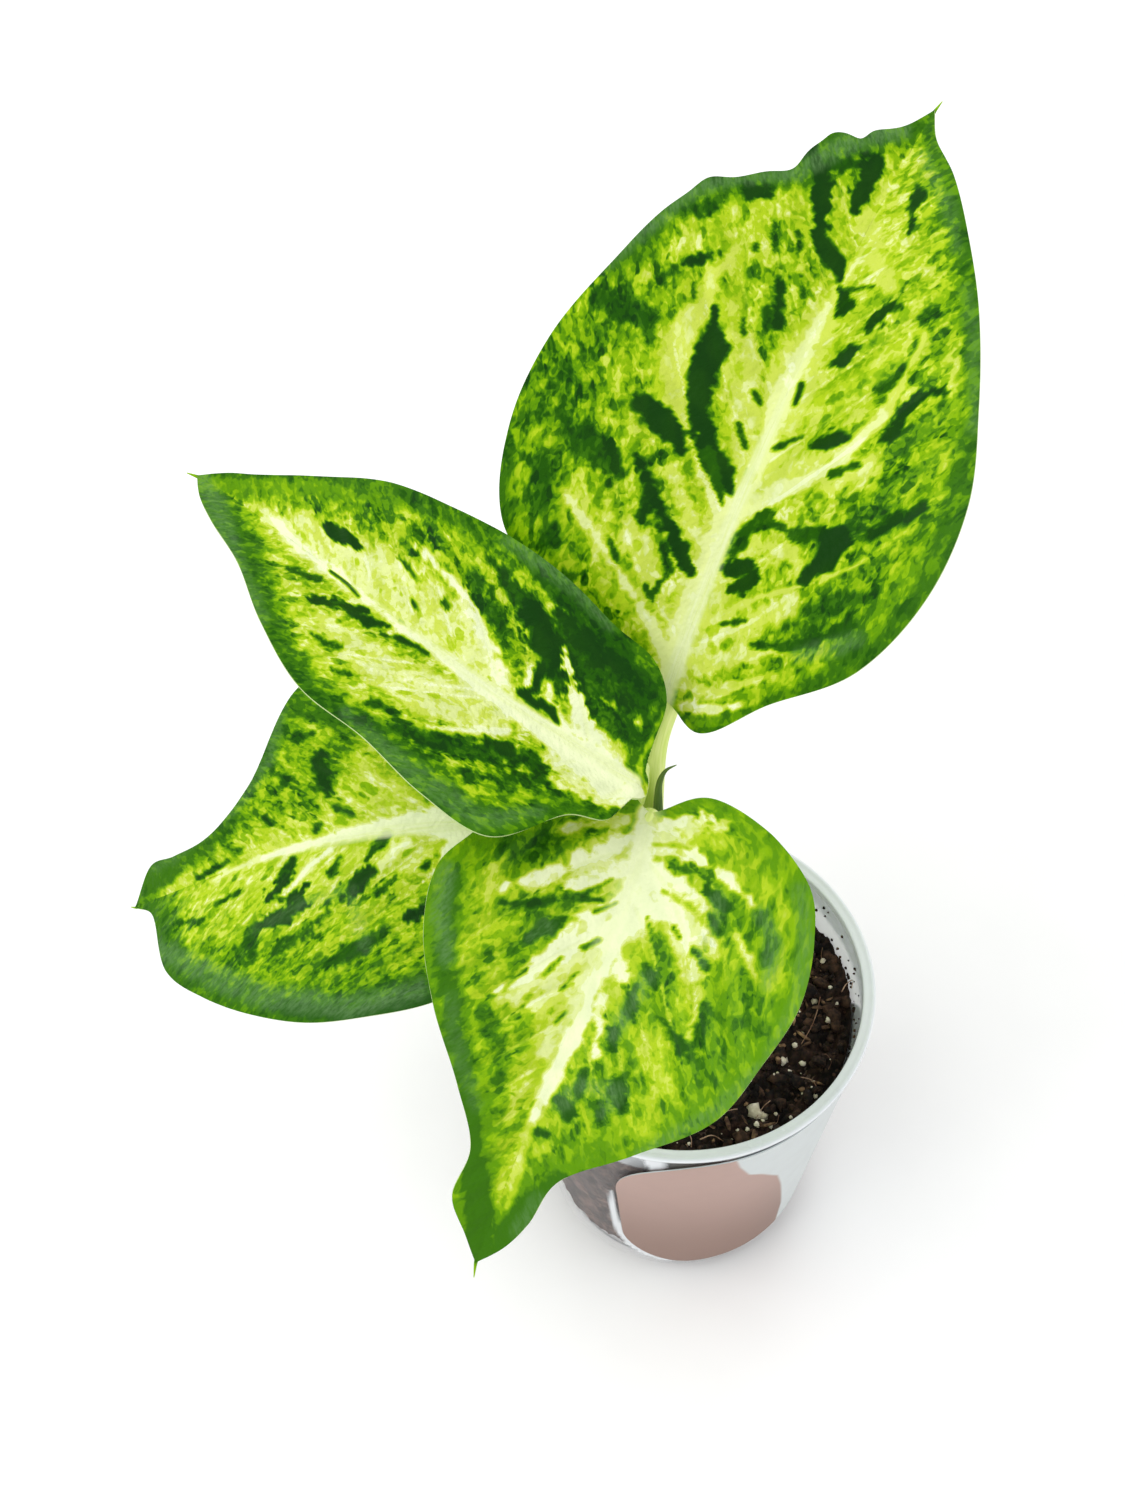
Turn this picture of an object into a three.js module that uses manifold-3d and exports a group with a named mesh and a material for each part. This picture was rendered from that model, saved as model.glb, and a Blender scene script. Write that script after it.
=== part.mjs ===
// A variegated dieffenbachia in a small clear nursery pot.
// Millimetres, +Z up. The origin is the centre of the pot's flat foot.
import * as THREE from 'three';
import { mergeVertices } from 'three/addons/utils/BufferGeometryUtils.js';
import Module from 'manifold-3d';

const wasm = await Module();
wasm.setup();

// ---- Driving dimensions ------------------------------------------------------

const CLEARANCE = 0.3;

// Pot: a tapered thin-walled plastic pot with a flat collar round its mouth.
const POT_HEIGHT = 60;
const POT_RIM_RADIUS = 30;
const POT_MOUTH_RADIUS = 28.1;
const POT_WALL = 0.8;
const POT_BASE_RADIUS = 21.7;
const POT_COLLAR_THICKNESS = 1.2;
const POT_FLOOR = 1.6;
const POT_FOOT_RADIUS = 20;
const POT_FOOT_HEIGHT = 1.2;
const POT_SIDES = 64;

// Label: one thin sticker with large rounded corners round the pot's front and right.
const LABEL_BOTTOM = 5;
const LABEL_TOP = 55.5;
const LABEL_LEFT_AZIMUTH = -115;
const LABEL_RIGHT_AZIMUTH = 10;
const LABEL_TOP_CORNER = 17;
const LABEL_BOTTOM_CORNER = 12;
const LABEL_THICKNESS = 0.4;

// Potting mix: a lumpy top about 8 mm under the rim, heaped at one side.
const SOIL_LEVEL = 51.6;
const SOIL_LUMP = 0.9;
const SOIL_HEAP = 2.6;
const SOIL_HEAP_AZIMUTH = 12;
const SOIL_RINGS = 9;
const SOIL_SIDES = 40;
const GRAIN_COUNT = 44;
const GRAIN_RADIUS = [0.7, 1.6];
const GRAIN_SEED = 7;

// Stem: a short leaning cane, from inside the mix to the fork of the stalks.
const STEM_PATH = [[0.5, -0.5, 30], [-0.3, 0.4, 50], [-2.4, 2.8, 70], [-4.8, 5.2, 88]];
const STEM_RADII = [4.4, 4.2, 3.4, 2.2];
const STEM_JOINTS = [57, 64, 71, 78];
const STEM_JOINT_SWELL = 0.35;

// Young shoot: a curved pointed sheath beside the newest stalk.
const SHOOT_PATH = [[-3.2, 3.5, 92], [-3.6, 4.9, 98], [-3.1, 6.3, 103], [-1.3, 8, 107.4]];
const SHOOT_RADII = [0.75, 0.7, 0.6, 0.16];

// Leaves: thickness of the blade and how finely it is divided.
const BLADE_THICKNESS = 0.8;
const BLADE_ROWS = 22;
const BLADE_COLUMNS = 5;
const VEIN_RELIEF = 0.45;
const VEIN_SLANT = 1.9;
const RIB_RADIUS = 1.35;
const RIB_TIP_RADIUS = 0.35;
const STALK_RADIUS = 1.85;

// Where along the midrib (as a share of its length) each half width is given.
const WIDTH_STATIONS = [0.08, 0.18, 0.3, 0.42, 0.54, 0.66, 0.77, 0.87, 0.94];

// Each blade leaves its base point along a heading (degrees from +X) and follows
// four rise angles from base to tip. Fold lifts each half from the midrib, and
// curl bends it back down over 30 mm. A lobe is [how far behind, how far aside].
const LEAVES = [
  {
    name: 'leaf_upper_right',
    base: [-2, 16.5, 112],
    length: 93.5,
    heading: 57,
    turn: [2, 1],
    rise: [55, 44, 18, 9],
    roll: -4,
    twist: 2,
    fold: [30, 26],
    foldChange: 0,
    curl: [-1, -16],
    leftWidths: [18.5, 30, 33.5, 33, 29.5, 25, 15.5, 10, 3],
    rightWidths: [17.5, 28.5, 33.5, 33.5, 29, 23, 16, 9, 3],
    leftLobe: [2.5, 9.5],
    rightLobe: [1.5, 7.5],
    stalk: [[-4.8, 5.4, 88.6], [-4.9, 6.3, 94], [-4.7, 9, 100.4], [-3.9, 12.9, 107]],
  },
  {
    name: 'leaf_upper_left',
    base: [-8, 1, 113.5],
    length: 77,
    heading: 157,
    turn: [-23, -2],
    rise: [25, 28, 20, -15],
    roll: -3,
    twist: -3,
    fold: [20, 30],
    foldChange: 1,
    curl: [-17, -14],
    leftWidths: [11, 21, 21, 19, 18.5, 14, 8.5, 5.5, 3],
    rightWidths: [16, 17, 18.5, 18.5, 17, 14.5, 9.5, 5, 2.5],
    leftLobe: [-1.5, 8.5],
    rightLobe: [-1.5, 12],
    stalk: [[-3.4, 3.9, 75], [-7.8, 4.8, 84], [-8.8, 5.6, 95], [-6.8, 6.7, 105.5], [-7, 4.8, 111]],
  },
  {
    name: 'leaf_lower_left',
    base: [-12.5, 4, 96],
    length: 79.5,
    heading: 176,
    turn: [6, -13],
    rise: [18, -14, -40, -40],
    roll: -17,
    twist: 0,
    fold: [14, 10],
    foldChange: 1,
    curl: [-15, -17],
    leftWidths: [16.5, 22.5, 26.5, 27.5, 27, 24, 19.5, 13.5, 2.5],
    rightWidths: [16, 21.5, 25, 26.5, 25, 12, 6.5, 5.5, 5.5],
    leftLobe: [2, 9],
    rightLobe: [2, 9],
    stalk: [[-1.4, 1.6, 60], [-6.4, 1.9, 69], [-10.6, 2.5, 80], [-12.9, 3.6, 90]],
  },
  {
    name: 'leaf_front',
    base: [-5.5, 0.5, 106],
    length: 67.5,
    heading: -108,
    turn: [-21, 6],
    rise: [3, -15, -36, -49],
    roll: -8,
    twist: -9,
    fold: [20, 21],
    foldChange: 1,
    curl: [-15, -14],
    leftWidths: [24, 27, 28, 26, 23, 14.5, 6.5, 5, 3],
    rightWidths: [22.5, 21.5, 25, 23.5, 18.5, 11.5, 6.5, 6.5, 3],
    leftLobe: [4.5, 7.5],
    rightLobe: [4, 8.5],
    stalk: [[-2.6, 2.8, 68], [-4, -0.6, 78], [-5.2, 0.1, 91], [-5.6, 1.4, 101]],
  },
];

// ---- Materials ---------------------------------------------------------------

const material = (color, roughness, metalness = 0) =>
  new THREE.MeshStandardMaterial({ color, roughness, metalness });

const POT_PLASTIC = material('#d3dbdc', 0.28);
const LABEL_PAPER = material('#c3a498', 0.45);
const SOIL_BROWN = material('#2c211c', 0.95);
const STALK_GREEN = material('#b9cf78', 0.42);
const SHOOT_GREEN = material('#5f7d3c', 0.45);
const LEAF_GREEN = material('#86b03a', 0.38);

// ---- Helpers -----------------------------------------------------------------

const vector = (p) => new THREE.Vector3(p[0], p[1], p[2]);
const radians = THREE.MathUtils.degToRad;

// Repeatable random numbers from 0 to 1.
function seededRandom(seed) {
  let state = seed;
  return () => {
    state = (state * 16807) % 2147483647;
    return state / 2147483647;
  };
}

function meshFrom(positions, triangles) {
  const geometry = new THREE.BufferGeometry();
  geometry.setAttribute('position', new THREE.Float32BufferAttribute(positions, 3));
  geometry.setIndex(triangles);
  return geometry;
}

function toSolid(geometry) {
  const bare = geometry.clone();
  bare.deleteAttribute('normal');
  bare.deleteAttribute('uv');
  const merged = mergeVertices(bare, 1e-4);
  return new wasm.Manifold(new wasm.Mesh({
    numProp: 3,
    vertProperties: Float32Array.from(merged.attributes.position.array),
    triVerts: Uint32Array.from(merged.index.array),
  }));
}

function toGeometry(solid) {
  const mesh = solid.getMesh();
  const geometry = meshFrom(Array.from(mesh.vertProperties), Array.from(mesh.triVerts));
  geometry.computeVertexNormals();
  return geometry;
}

function addNode(group, name, geometry, nodeMaterial) {
  const mesh = new THREE.Mesh(geometry, nodeMaterial);
  mesh.name = name;
  group.add(mesh);
}

// A value read between evenly spaced samples, with position from 0 to 1.
function between(samples, position) {
  const scaled = THREE.MathUtils.clamp(position, 0, 1) * (samples.length - 1);
  const low = Math.min(Math.floor(scaled), samples.length - 2);
  return THREE.MathUtils.lerp(samples[low], samples[low + 1], scaled - low);
}

// A closed round bar along a smooth path, with radii spread evenly along it.
function taperedBar(path, radii, steps, sides, extra = 0) {
  const curve = new THREE.CatmullRomCurve3(path.map(vector), false, 'centripetal');
  const frames = curve.computeFrenetFrames(steps, false);
  const positions = [];
  const triangles = [];
  for (let i = 0; i <= steps; i += 1) {
    const centre = curve.getPointAt(i / steps);
    const radius = (typeof radii === 'function' ? radii(i / steps, centre) : between(radii, i / steps));
    for (let k = 0; k < sides; k += 1) {
      const angle = (2 * Math.PI * k) / sides;
      const point = centre.clone()
        .addScaledVector(frames.normals[i], (radius + extra) * Math.cos(angle))
        .addScaledVector(frames.binormals[i], (radius + extra) * Math.sin(angle));
      positions.push(point.x, point.y, point.z);
    }
  }
  const start = positions.length / 3;
  const first = curve.getPointAt(0).addScaledVector(frames.tangents[0], -extra);
  const last = curve.getPointAt(1).addScaledVector(frames.tangents[steps], extra);
  positions.push(first.x, first.y, first.z, last.x, last.y, last.z);
  for (let i = 0; i < steps; i += 1) {
    for (let k = 0; k < sides; k += 1) {
      const next = (k + 1) % sides;
      const a = i * sides + k;
      const b = i * sides + next;
      triangles.push(a, b, b + sides, a, b + sides, a + sides);
    }
  }
  for (let k = 0; k < sides; k += 1) {
    const next = (k + 1) % sides;
    triangles.push(start, next, k);
    triangles.push(start + 1, steps * sides + k, steps * sides + next);
  }
  return meshFrom(positions, triangles);
}

// Turns an open sheet into a closed solid of even thickness. Both faces are
// split into the same triangles, and the sheet's free edge gets a narrow side.
function thicken(points, faces, thickness) {
  const sheet = mergeVertices(meshFrom(points.flatMap((p) => [p.x, p.y, p.z]), faces), 1e-3);
  const source = Array.from(sheet.index.array);
  const index = [];
  for (let i = 0; i < source.length; i += 3) {
    const [a, b, c] = source.slice(i, i + 3);
    if (a !== b && b !== c && a !== c) index.push(a, b, c);
  }
  sheet.setIndex(index);
  sheet.computeVertexNormals();
  const place = sheet.attributes.position;
  const normal = sheet.attributes.normal;
  const count = place.count;
  const positions = [];
  for (const side of [1, -1]) {
    for (let i = 0; i < count; i += 1) {
      positions.push(place.getX(i) + side * 0.5 * thickness * normal.getX(i));
      positions.push(place.getY(i) + side * 0.5 * thickness * normal.getY(i));
      positions.push(place.getZ(i) + side * 0.5 * thickness * normal.getZ(i));
    }
  }
  const triangles = [];
  const edges = new Set();
  for (let i = 0; i < index.length; i += 3) {
    const [a, b, c] = index.slice(i, i + 3);
    triangles.push(a, b, c, a + count, c + count, b + count);
    edges.add(`${a},${b}`).add(`${b},${c}`).add(`${c},${a}`);
  }
  for (const edge of edges) {
    const [a, b] = edge.split(',').map(Number);
    if (!edges.has(`${b},${a}`)) triangles.push(b, a, a + count, b, a + count, b + count);
  }
  return meshFrom(positions, triangles);
}

// ---- Pot, label and potting mix ------------------------------------------------

// Outer radius of the tapered wall at a height.
function wallRadius(z) {
  const top = POT_HEIGHT - POT_COLLAR_THICKNESS;
  const share = (z - POT_FOOT_HEIGHT) / (top - POT_FOOT_HEIGHT);
  return THREE.MathUtils.lerp(POT_BASE_RADIUS, POT_MOUTH_RADIUS + POT_WALL, share);
}

function buildPot() {
  const underCollar = POT_HEIGHT - POT_COLLAR_THICKNESS;
  const floorTop = POT_FOOT_HEIGHT + POT_FLOOR;
  const profile = [
    [0, 0],
    [POT_FOOT_RADIUS, 0],
    [POT_FOOT_RADIUS, POT_FOOT_HEIGHT],
    [POT_BASE_RADIUS - 0.5, POT_FOOT_HEIGHT],
    [POT_BASE_RADIUS, POT_FOOT_HEIGHT + 0.5],
    [wallRadius(underCollar), underCollar],
    [POT_RIM_RADIUS - 0.25, underCollar],
    [POT_RIM_RADIUS, underCollar + 0.25],
    [POT_RIM_RADIUS, POT_HEIGHT - 0.3],
    [POT_RIM_RADIUS - 0.3, POT_HEIGHT],
    [POT_MOUTH_RADIUS + 0.3, POT_HEIGHT],
    [POT_MOUTH_RADIUS, POT_HEIGHT - 0.3],
    [POT_MOUTH_RADIUS, underCollar],
    [wallRadius(floorTop + 0.8) - POT_WALL, floorTop + 0.8],
    [wallRadius(floorTop + 0.8) - POT_WALL - 0.8, floorTop],
    [0, floorTop],
  ];
  const turned = new THREE.LatheGeometry(profile.map((p) => new THREE.Vector2(p[0], p[1])), POT_SIDES);
  turned.rotateX(Math.PI / 2);
  return toGeometry(toSolid(turned));
}

// How far inside the label's end its rounded outline starts at a height.
function labelInset(z) {
  const above = z - (LABEL_TOP - LABEL_TOP_CORNER);
  const below = LABEL_BOTTOM + LABEL_BOTTOM_CORNER - z;
  if (above > 0) return LABEL_TOP_CORNER - Math.sqrt(Math.max(LABEL_TOP_CORNER ** 2 - above ** 2, 0));
  if (below > 0) return LABEL_BOTTOM_CORNER - Math.sqrt(Math.max(LABEL_BOTTOM_CORNER ** 2 - below ** 2, 0));
  return 0;
}

function buildLabel() {
  const rows = 12;
  const columns = 15;
  const points = [];
  const faces = [];
  for (let i = 0; i <= rows; i += 1) {
    // Heights gather near the rounded corners.
    const share = 0.5 - 0.5 * Math.cos((Math.PI * i) / rows);
    const z = THREE.MathUtils.lerp(LABEL_BOTTOM, LABEL_TOP, share);
    const radius = wallRadius(z) + CLEARANCE + LABEL_THICKNESS / 2;
    const inset = labelInset(z) / radius;
    const left = radians(LABEL_LEFT_AZIMUTH) + inset;
    const right = radians(LABEL_RIGHT_AZIMUTH) - inset;
    for (let k = 0; k <= columns; k += 1) {
      const azimuth = THREE.MathUtils.lerp(left, right, k / columns);
      points.push(new THREE.Vector3(radius * Math.cos(azimuth), radius * Math.sin(azimuth), z));
    }
  }
  for (let i = 0; i < rows; i += 1) {
    for (let k = 0; k < columns; k += 1) {
      const a = i * (columns + 1) + k;
      const b = a + columns + 1;
      faces.push(a, a + 1, b + 1, a, b + 1, b);
    }
  }
  return thicken(points, faces, LABEL_THICKNESS);
}

// Height of the mix at a place: lumps from crossed waves, and a heap at one side.
function soilHeight(x, y) {
  const reach = Math.hypot(x, y) / POT_MOUTH_RADIUS;
  const lumps = Math.sin(0.55 * x + 1.1) * Math.cos(0.48 * y - 0.4)
    + 0.6 * Math.sin(1.13 * x - 0.7 * y) + 0.45 * Math.cos(0.9 * y + 0.62 * x + 2);
  const turn = Math.atan2(y, x) - radians(SOIL_HEAP_AZIMUTH);
  const heap = SOIL_HEAP * Math.exp(-((turn / 0.28) ** 2)) * reach ** 8;
  return SOIL_LEVEL + SOIL_LUMP * lumps * 0.6 + heap;
}

function buildSoil(stemHole) {
  const floor = POT_FOOT_HEIGHT + POT_FLOOR + CLEARANCE;
  const wallInside = (z) => wallRadius(z) - POT_WALL - CLEARANCE;
  const positions = [0, 0, soilHeight(0, 0)];
  const triangles = [];
  const spoke = (k) => (2 * Math.PI * (k % SOIL_SIDES)) / SOIL_SIDES;
  const at = (ring, k) => 1 + (ring - 1) * SOIL_SIDES + (k % SOIL_SIDES);
  for (let ring = 1; ring <= SOIL_RINGS; ring += 1) {
    for (let k = 0; k < SOIL_SIDES; k += 1) {
      const radius = (wallInside(SOIL_LEVEL) - 0.2) * (ring / SOIL_RINGS);
      const x = radius * Math.cos(spoke(k));
      const y = radius * Math.sin(spoke(k));
      positions.push(x, y, soilHeight(x, y));
    }
  }
  for (const [radius, z] of [[wallInside(floor + 1) - 1, floor]]) {
    for (let k = 0; k < SOIL_SIDES; k += 1) {
      positions.push(radius * Math.cos(spoke(k)), radius * Math.sin(spoke(k)), z);
    }
  }
  const bottom = positions.length / 3;
  positions.push(0, 0, floor);
  for (let k = 0; k < SOIL_SIDES; k += 1) {
    triangles.push(0, at(1, k), at(1, k + 1));
    for (let ring = 1; ring <= SOIL_RINGS; ring += 1) {
      const a = at(ring, k);
      const b = at(ring, k + 1);
      const c = at(ring + 1, k);
      const d = at(ring + 1, k + 1);
      triangles.push(a, c, d, a, d, b);
    }
    triangles.push(bottom, at(SOIL_RINGS + 1, k + 1), at(SOIL_RINGS + 1, k));
  }
  let mix = toSolid(meshFrom(positions, triangles));

  // Pale grains and crumbs, each sunk by about half into the top of the mix.
  const random = seededRandom(GRAIN_SEED);
  const grains = [];
  while (grains.length < GRAIN_COUNT) {
    const reach = (wallInside(SOIL_LEVEL) - 2.4) * Math.sqrt(0.06 + 0.94 * random());
    const azimuth = 2 * Math.PI * random();
    const radius = THREE.MathUtils.lerp(GRAIN_RADIUS[0], GRAIN_RADIUS[1], random() ** 1.6);
    const x = reach * Math.cos(azimuth);
    const y = reach * Math.sin(azimuth);
    const grain = new THREE.IcosahedronGeometry(radius, 0);
    grain.scale(1.15, 0.95, 0.8);
    grain.rotateX(2 * Math.PI * random());
    grain.rotateZ(2 * Math.PI * random());
    grain.translate(x, y, soilHeight(x, y) + 0.1 * radius);
    grains.push(toSolid(grain));
  }
  for (const grain of grains) mix = mix.add(grain);
  mix = mix.subtract(stemHole);
  const bodies = mix.decompose().sort((a, b) => b.volume() - a.volume());
  return toGeometry(bodies[0]);
}

// ---- Stem, shoot and leaves ------------------------------------------------------

// Stem radius: a taper with a slight swelling at each leaf scar.
function stemRadius(share, centre) {
  const swell = STEM_JOINTS.map((z) => Math.exp(-(((centre.z - z) / 0.9) ** 2)));
  return between(STEM_RADII, share) + STEM_JOINT_SWELL * Math.max(...swell);
}

function buildStem(extra) {
  return taperedBar(STEM_PATH, stemRadius, 30, 12, extra);
}

// The midrib's course: evenly spaced stops, each with its place and directions.
function midribStops(leaf) {
  const steps = 60;
  const stops = [];
  const point = vector(leaf.base);
  for (let i = 0; i <= steps; i += 1) {
    const u = i / steps;
    const v = 1 - u;
    const [r0, r1, r2, r3] = leaf.rise;
    const rise = radians(r0 * v ** 3 + 3 * r1 * u * v * v + 3 * r2 * u * u * v + r3 * u ** 3);
    const heading = radians(leaf.heading + leaf.turn[0] * u + leaf.turn[1] * u * u);
    const along = new THREE.Vector3(
      Math.cos(heading) * Math.cos(rise),
      Math.sin(heading) * Math.cos(rise),
      Math.sin(rise),
    );
    const level = new THREE.Vector3(-Math.sin(heading), Math.cos(heading), 0);
    const side = level.applyAxisAngle(along, radians(leaf.roll + leaf.twist * u));
    const up = new THREE.Vector3().crossVectors(along, side);
    if (i > 0) {
      const mean = stops[i - 1].along.clone().add(along).multiplyScalar(0.5);
      point.addScaledVector(mean, leaf.length / steps);
    }
    stops.push({ point: point.clone(), along, side, up });
  }
  return stops;
}

// Carries a point of the flat leaf (x along the midrib, y to its left) into space.
function bend(leaf, stops, x, y) {
  const u = THREE.MathUtils.clamp(x / leaf.length, 0, 1);
  const scaled = u * (stops.length - 1);
  const low = Math.min(Math.floor(scaled), stops.length - 2);
  const mix = scaled - low;
  const read = (key) => stops[low][key].clone().lerp(stops[low + 1][key], mix);
  const centre = read('point');
  if (x < 0) centre.addScaledVector(stops[0].along, x);
  const half = y >= 0 ? 0 : 1;
  const fold = radians(leaf.fold[half] + leaf.foldChange * (u - 0.5));
  const curl = radians(leaf.curl[half]) / 30;
  const reach = Math.abs(y);
  const aside = (Math.sin(fold + curl * reach) - Math.sin(fold)) / curl;
  const lift = (Math.cos(fold) - Math.cos(fold + curl * reach)) / curl;
  return centre.addScaledVector(read('side'), Math.sign(y) * aside).addScaledVector(read('up'), lift);
}

// One half of the flat outline, from the base round the lobe to the tip.
function halfOutline(leaf, widths, lobe, sign) {
  const points = [[0, 0], [-lobe[0], lobe[1]]];
  WIDTH_STATIONS.forEach((share, i) => points.push([share * leaf.length, widths[i]]));
  points.push([leaf.length, 0]);
  const curve = new THREE.CatmullRomCurve3(
    points.map((p) => new THREE.Vector3(p[0], sign * p[1], 0)), false, 'centripetal');
  return curve.getSpacedPoints(BLADE_ROWS);
}

function buildBlade(leaf, stops) {
  const points = [];
  const faces = [];
  for (const sign of [1, -1]) {
    const widths = sign > 0 ? leaf.leftWidths : leaf.rightWidths;
    const lobe = sign > 0 ? leaf.leftLobe : leaf.rightLobe;
    const outline = halfOutline(leaf, widths, lobe, sign);
    const start = points.length;
    for (let i = 0; i <= BLADE_ROWS; i += 1) {
      const share = i / BLADE_ROWS;
      const root = leaf.length * share ** VEIN_SLANT;
      const edge = outline[i];
      const relief = VEIN_RELIEF * (i % 2 ? 1 : -1) * Math.sin(Math.PI * share) ** 0.7;
      for (let k = 0; k <= BLADE_COLUMNS; k += 1) {
        // The row bends forward like the side veins do.
        const t = k / BLADE_COLUMNS;
        const x = (1 - t) ** 2 * root + 2 * t * (1 - t) * THREE.MathUtils.lerp(root, edge.x, 0.36)
          + t * t * edge.x;
        const y = 2 * t * (1 - t) * 0.58 * edge.y + t * t * edge.y;
        const point = bend(leaf, stops, x, k === 0 ? 0 : y);
        const near = Math.min(Math.floor((i / BLADE_ROWS) * (stops.length - 1)), stops.length - 1);
        points.push(point.addScaledVector(stops[near].up, relief * Math.sin(Math.PI * t)));
      }
    }
    for (let i = 0; i < BLADE_ROWS; i += 1) {
      for (let k = 0; k < BLADE_COLUMNS; k += 1) {
        const a = start + i * (BLADE_COLUMNS + 1) + k;
        const b = a + BLADE_COLUMNS + 1;
        if (sign > 0) faces.push(a, b, b + 1, a, b + 1, a + 1);
        else faces.push(a, b + 1, b, a, a + 1, b + 1);
      }
    }
  }
  return thicken(points, faces, BLADE_THICKNESS);
}

// The rib stands out under the blade and thins towards the tip.
function buildRib(leaf, stops) {
  const path = [];
  for (const share of [0, 0.15, 0.3, 0.45, 0.6, 0.75, 0.9]) {
    const stop = stops[Math.round(share * (stops.length - 1))];
    const radius = THREE.MathUtils.lerp(RIB_RADIUS, RIB_TIP_RADIUS, share / 0.9);
    const centre = stop.point.clone().addScaledVector(stop.up, -0.45 * radius);
    path.push([centre.x, centre.y, centre.z]);
  }
  return taperedBar(path, [RIB_RADIUS, RIB_TIP_RADIUS], 14, 6);
}

function buildStalk(leaf, stops) {
  const end = stops[0].point.clone().addScaledVector(stops[0].up, -0.7);
  const inside = stops[2].point.clone().addScaledVector(stops[2].up, -0.8);
  const path = [...leaf.stalk, [end.x, end.y, end.z], [inside.x, inside.y, inside.z]];
  return taperedBar(path, [STALK_RADIUS, STALK_RADIUS, STALK_RADIUS * 0.96, RIB_RADIUS], 20, 10);
}

function buildLeaf(leaf, stemKeepOut) {
  const stops = midribStops(leaf);
  const solid = toSolid(buildBlade(leaf, stops))
    .add(toSolid(buildRib(leaf, stops)))
    .add(toSolid(buildStalk(leaf, stops)))
    .subtract(stemKeepOut);
  const bodies = solid.decompose().sort((a, b) => b.volume() - a.volume());
  return toGeometry(bodies[0]);
}

// ---- Assembly --------------------------------------------------------------------

const group = new THREE.Group();
const stemKeepOut = toSolid(buildStem(CLEARANCE));

addNode(group, 'pot', buildPot(), POT_PLASTIC);
addNode(group, 'label', buildLabel(), LABEL_PAPER);
addNode(group, 'potting_mix', buildSoil(stemKeepOut), SOIL_BROWN);
addNode(group, 'stem', buildStem(0), STALK_GREEN);
addNode(group, 'young_shoot', taperedBar(SHOOT_PATH, SHOOT_RADII, 14, 8), SHOOT_GREEN);
for (const leaf of LEAVES) addNode(group, leaf.name, buildLeaf(leaf, stemKeepOut), LEAF_GREEN);

export default group;
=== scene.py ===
"""A small variegated dieffenbachia in a clear nursery pot, dressed for a studio picture.

The classes hold sizes in millimetres and degrees. The scene is in metres.
"""

import logging
import math
import random
from dataclasses import dataclass
from enum import Enum
from typing import Callable, Optional, Sequence, Union

import bmesh
import bpy
import numpy as np
from mathutils import Matrix, Vector, noise


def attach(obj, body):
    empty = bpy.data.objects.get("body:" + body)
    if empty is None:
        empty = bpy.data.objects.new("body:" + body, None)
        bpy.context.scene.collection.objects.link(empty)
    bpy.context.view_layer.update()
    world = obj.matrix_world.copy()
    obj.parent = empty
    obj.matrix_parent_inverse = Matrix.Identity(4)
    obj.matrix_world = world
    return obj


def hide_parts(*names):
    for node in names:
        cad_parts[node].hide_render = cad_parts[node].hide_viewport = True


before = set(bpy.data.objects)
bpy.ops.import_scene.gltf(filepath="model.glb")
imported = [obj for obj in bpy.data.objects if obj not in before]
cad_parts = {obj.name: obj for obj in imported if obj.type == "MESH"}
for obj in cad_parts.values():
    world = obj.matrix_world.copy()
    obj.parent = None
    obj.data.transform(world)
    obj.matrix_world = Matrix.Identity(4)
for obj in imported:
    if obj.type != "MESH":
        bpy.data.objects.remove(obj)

LOG = logging.getLogger("dieffenbachia")
MM = 0.001

Points = Sequence[Sequence[float]]
Socket = bpy.types.NodeSocket
Value = Union[Socket, float, tuple]


# ---- Camera ----------------------------------------------------------------------


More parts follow.
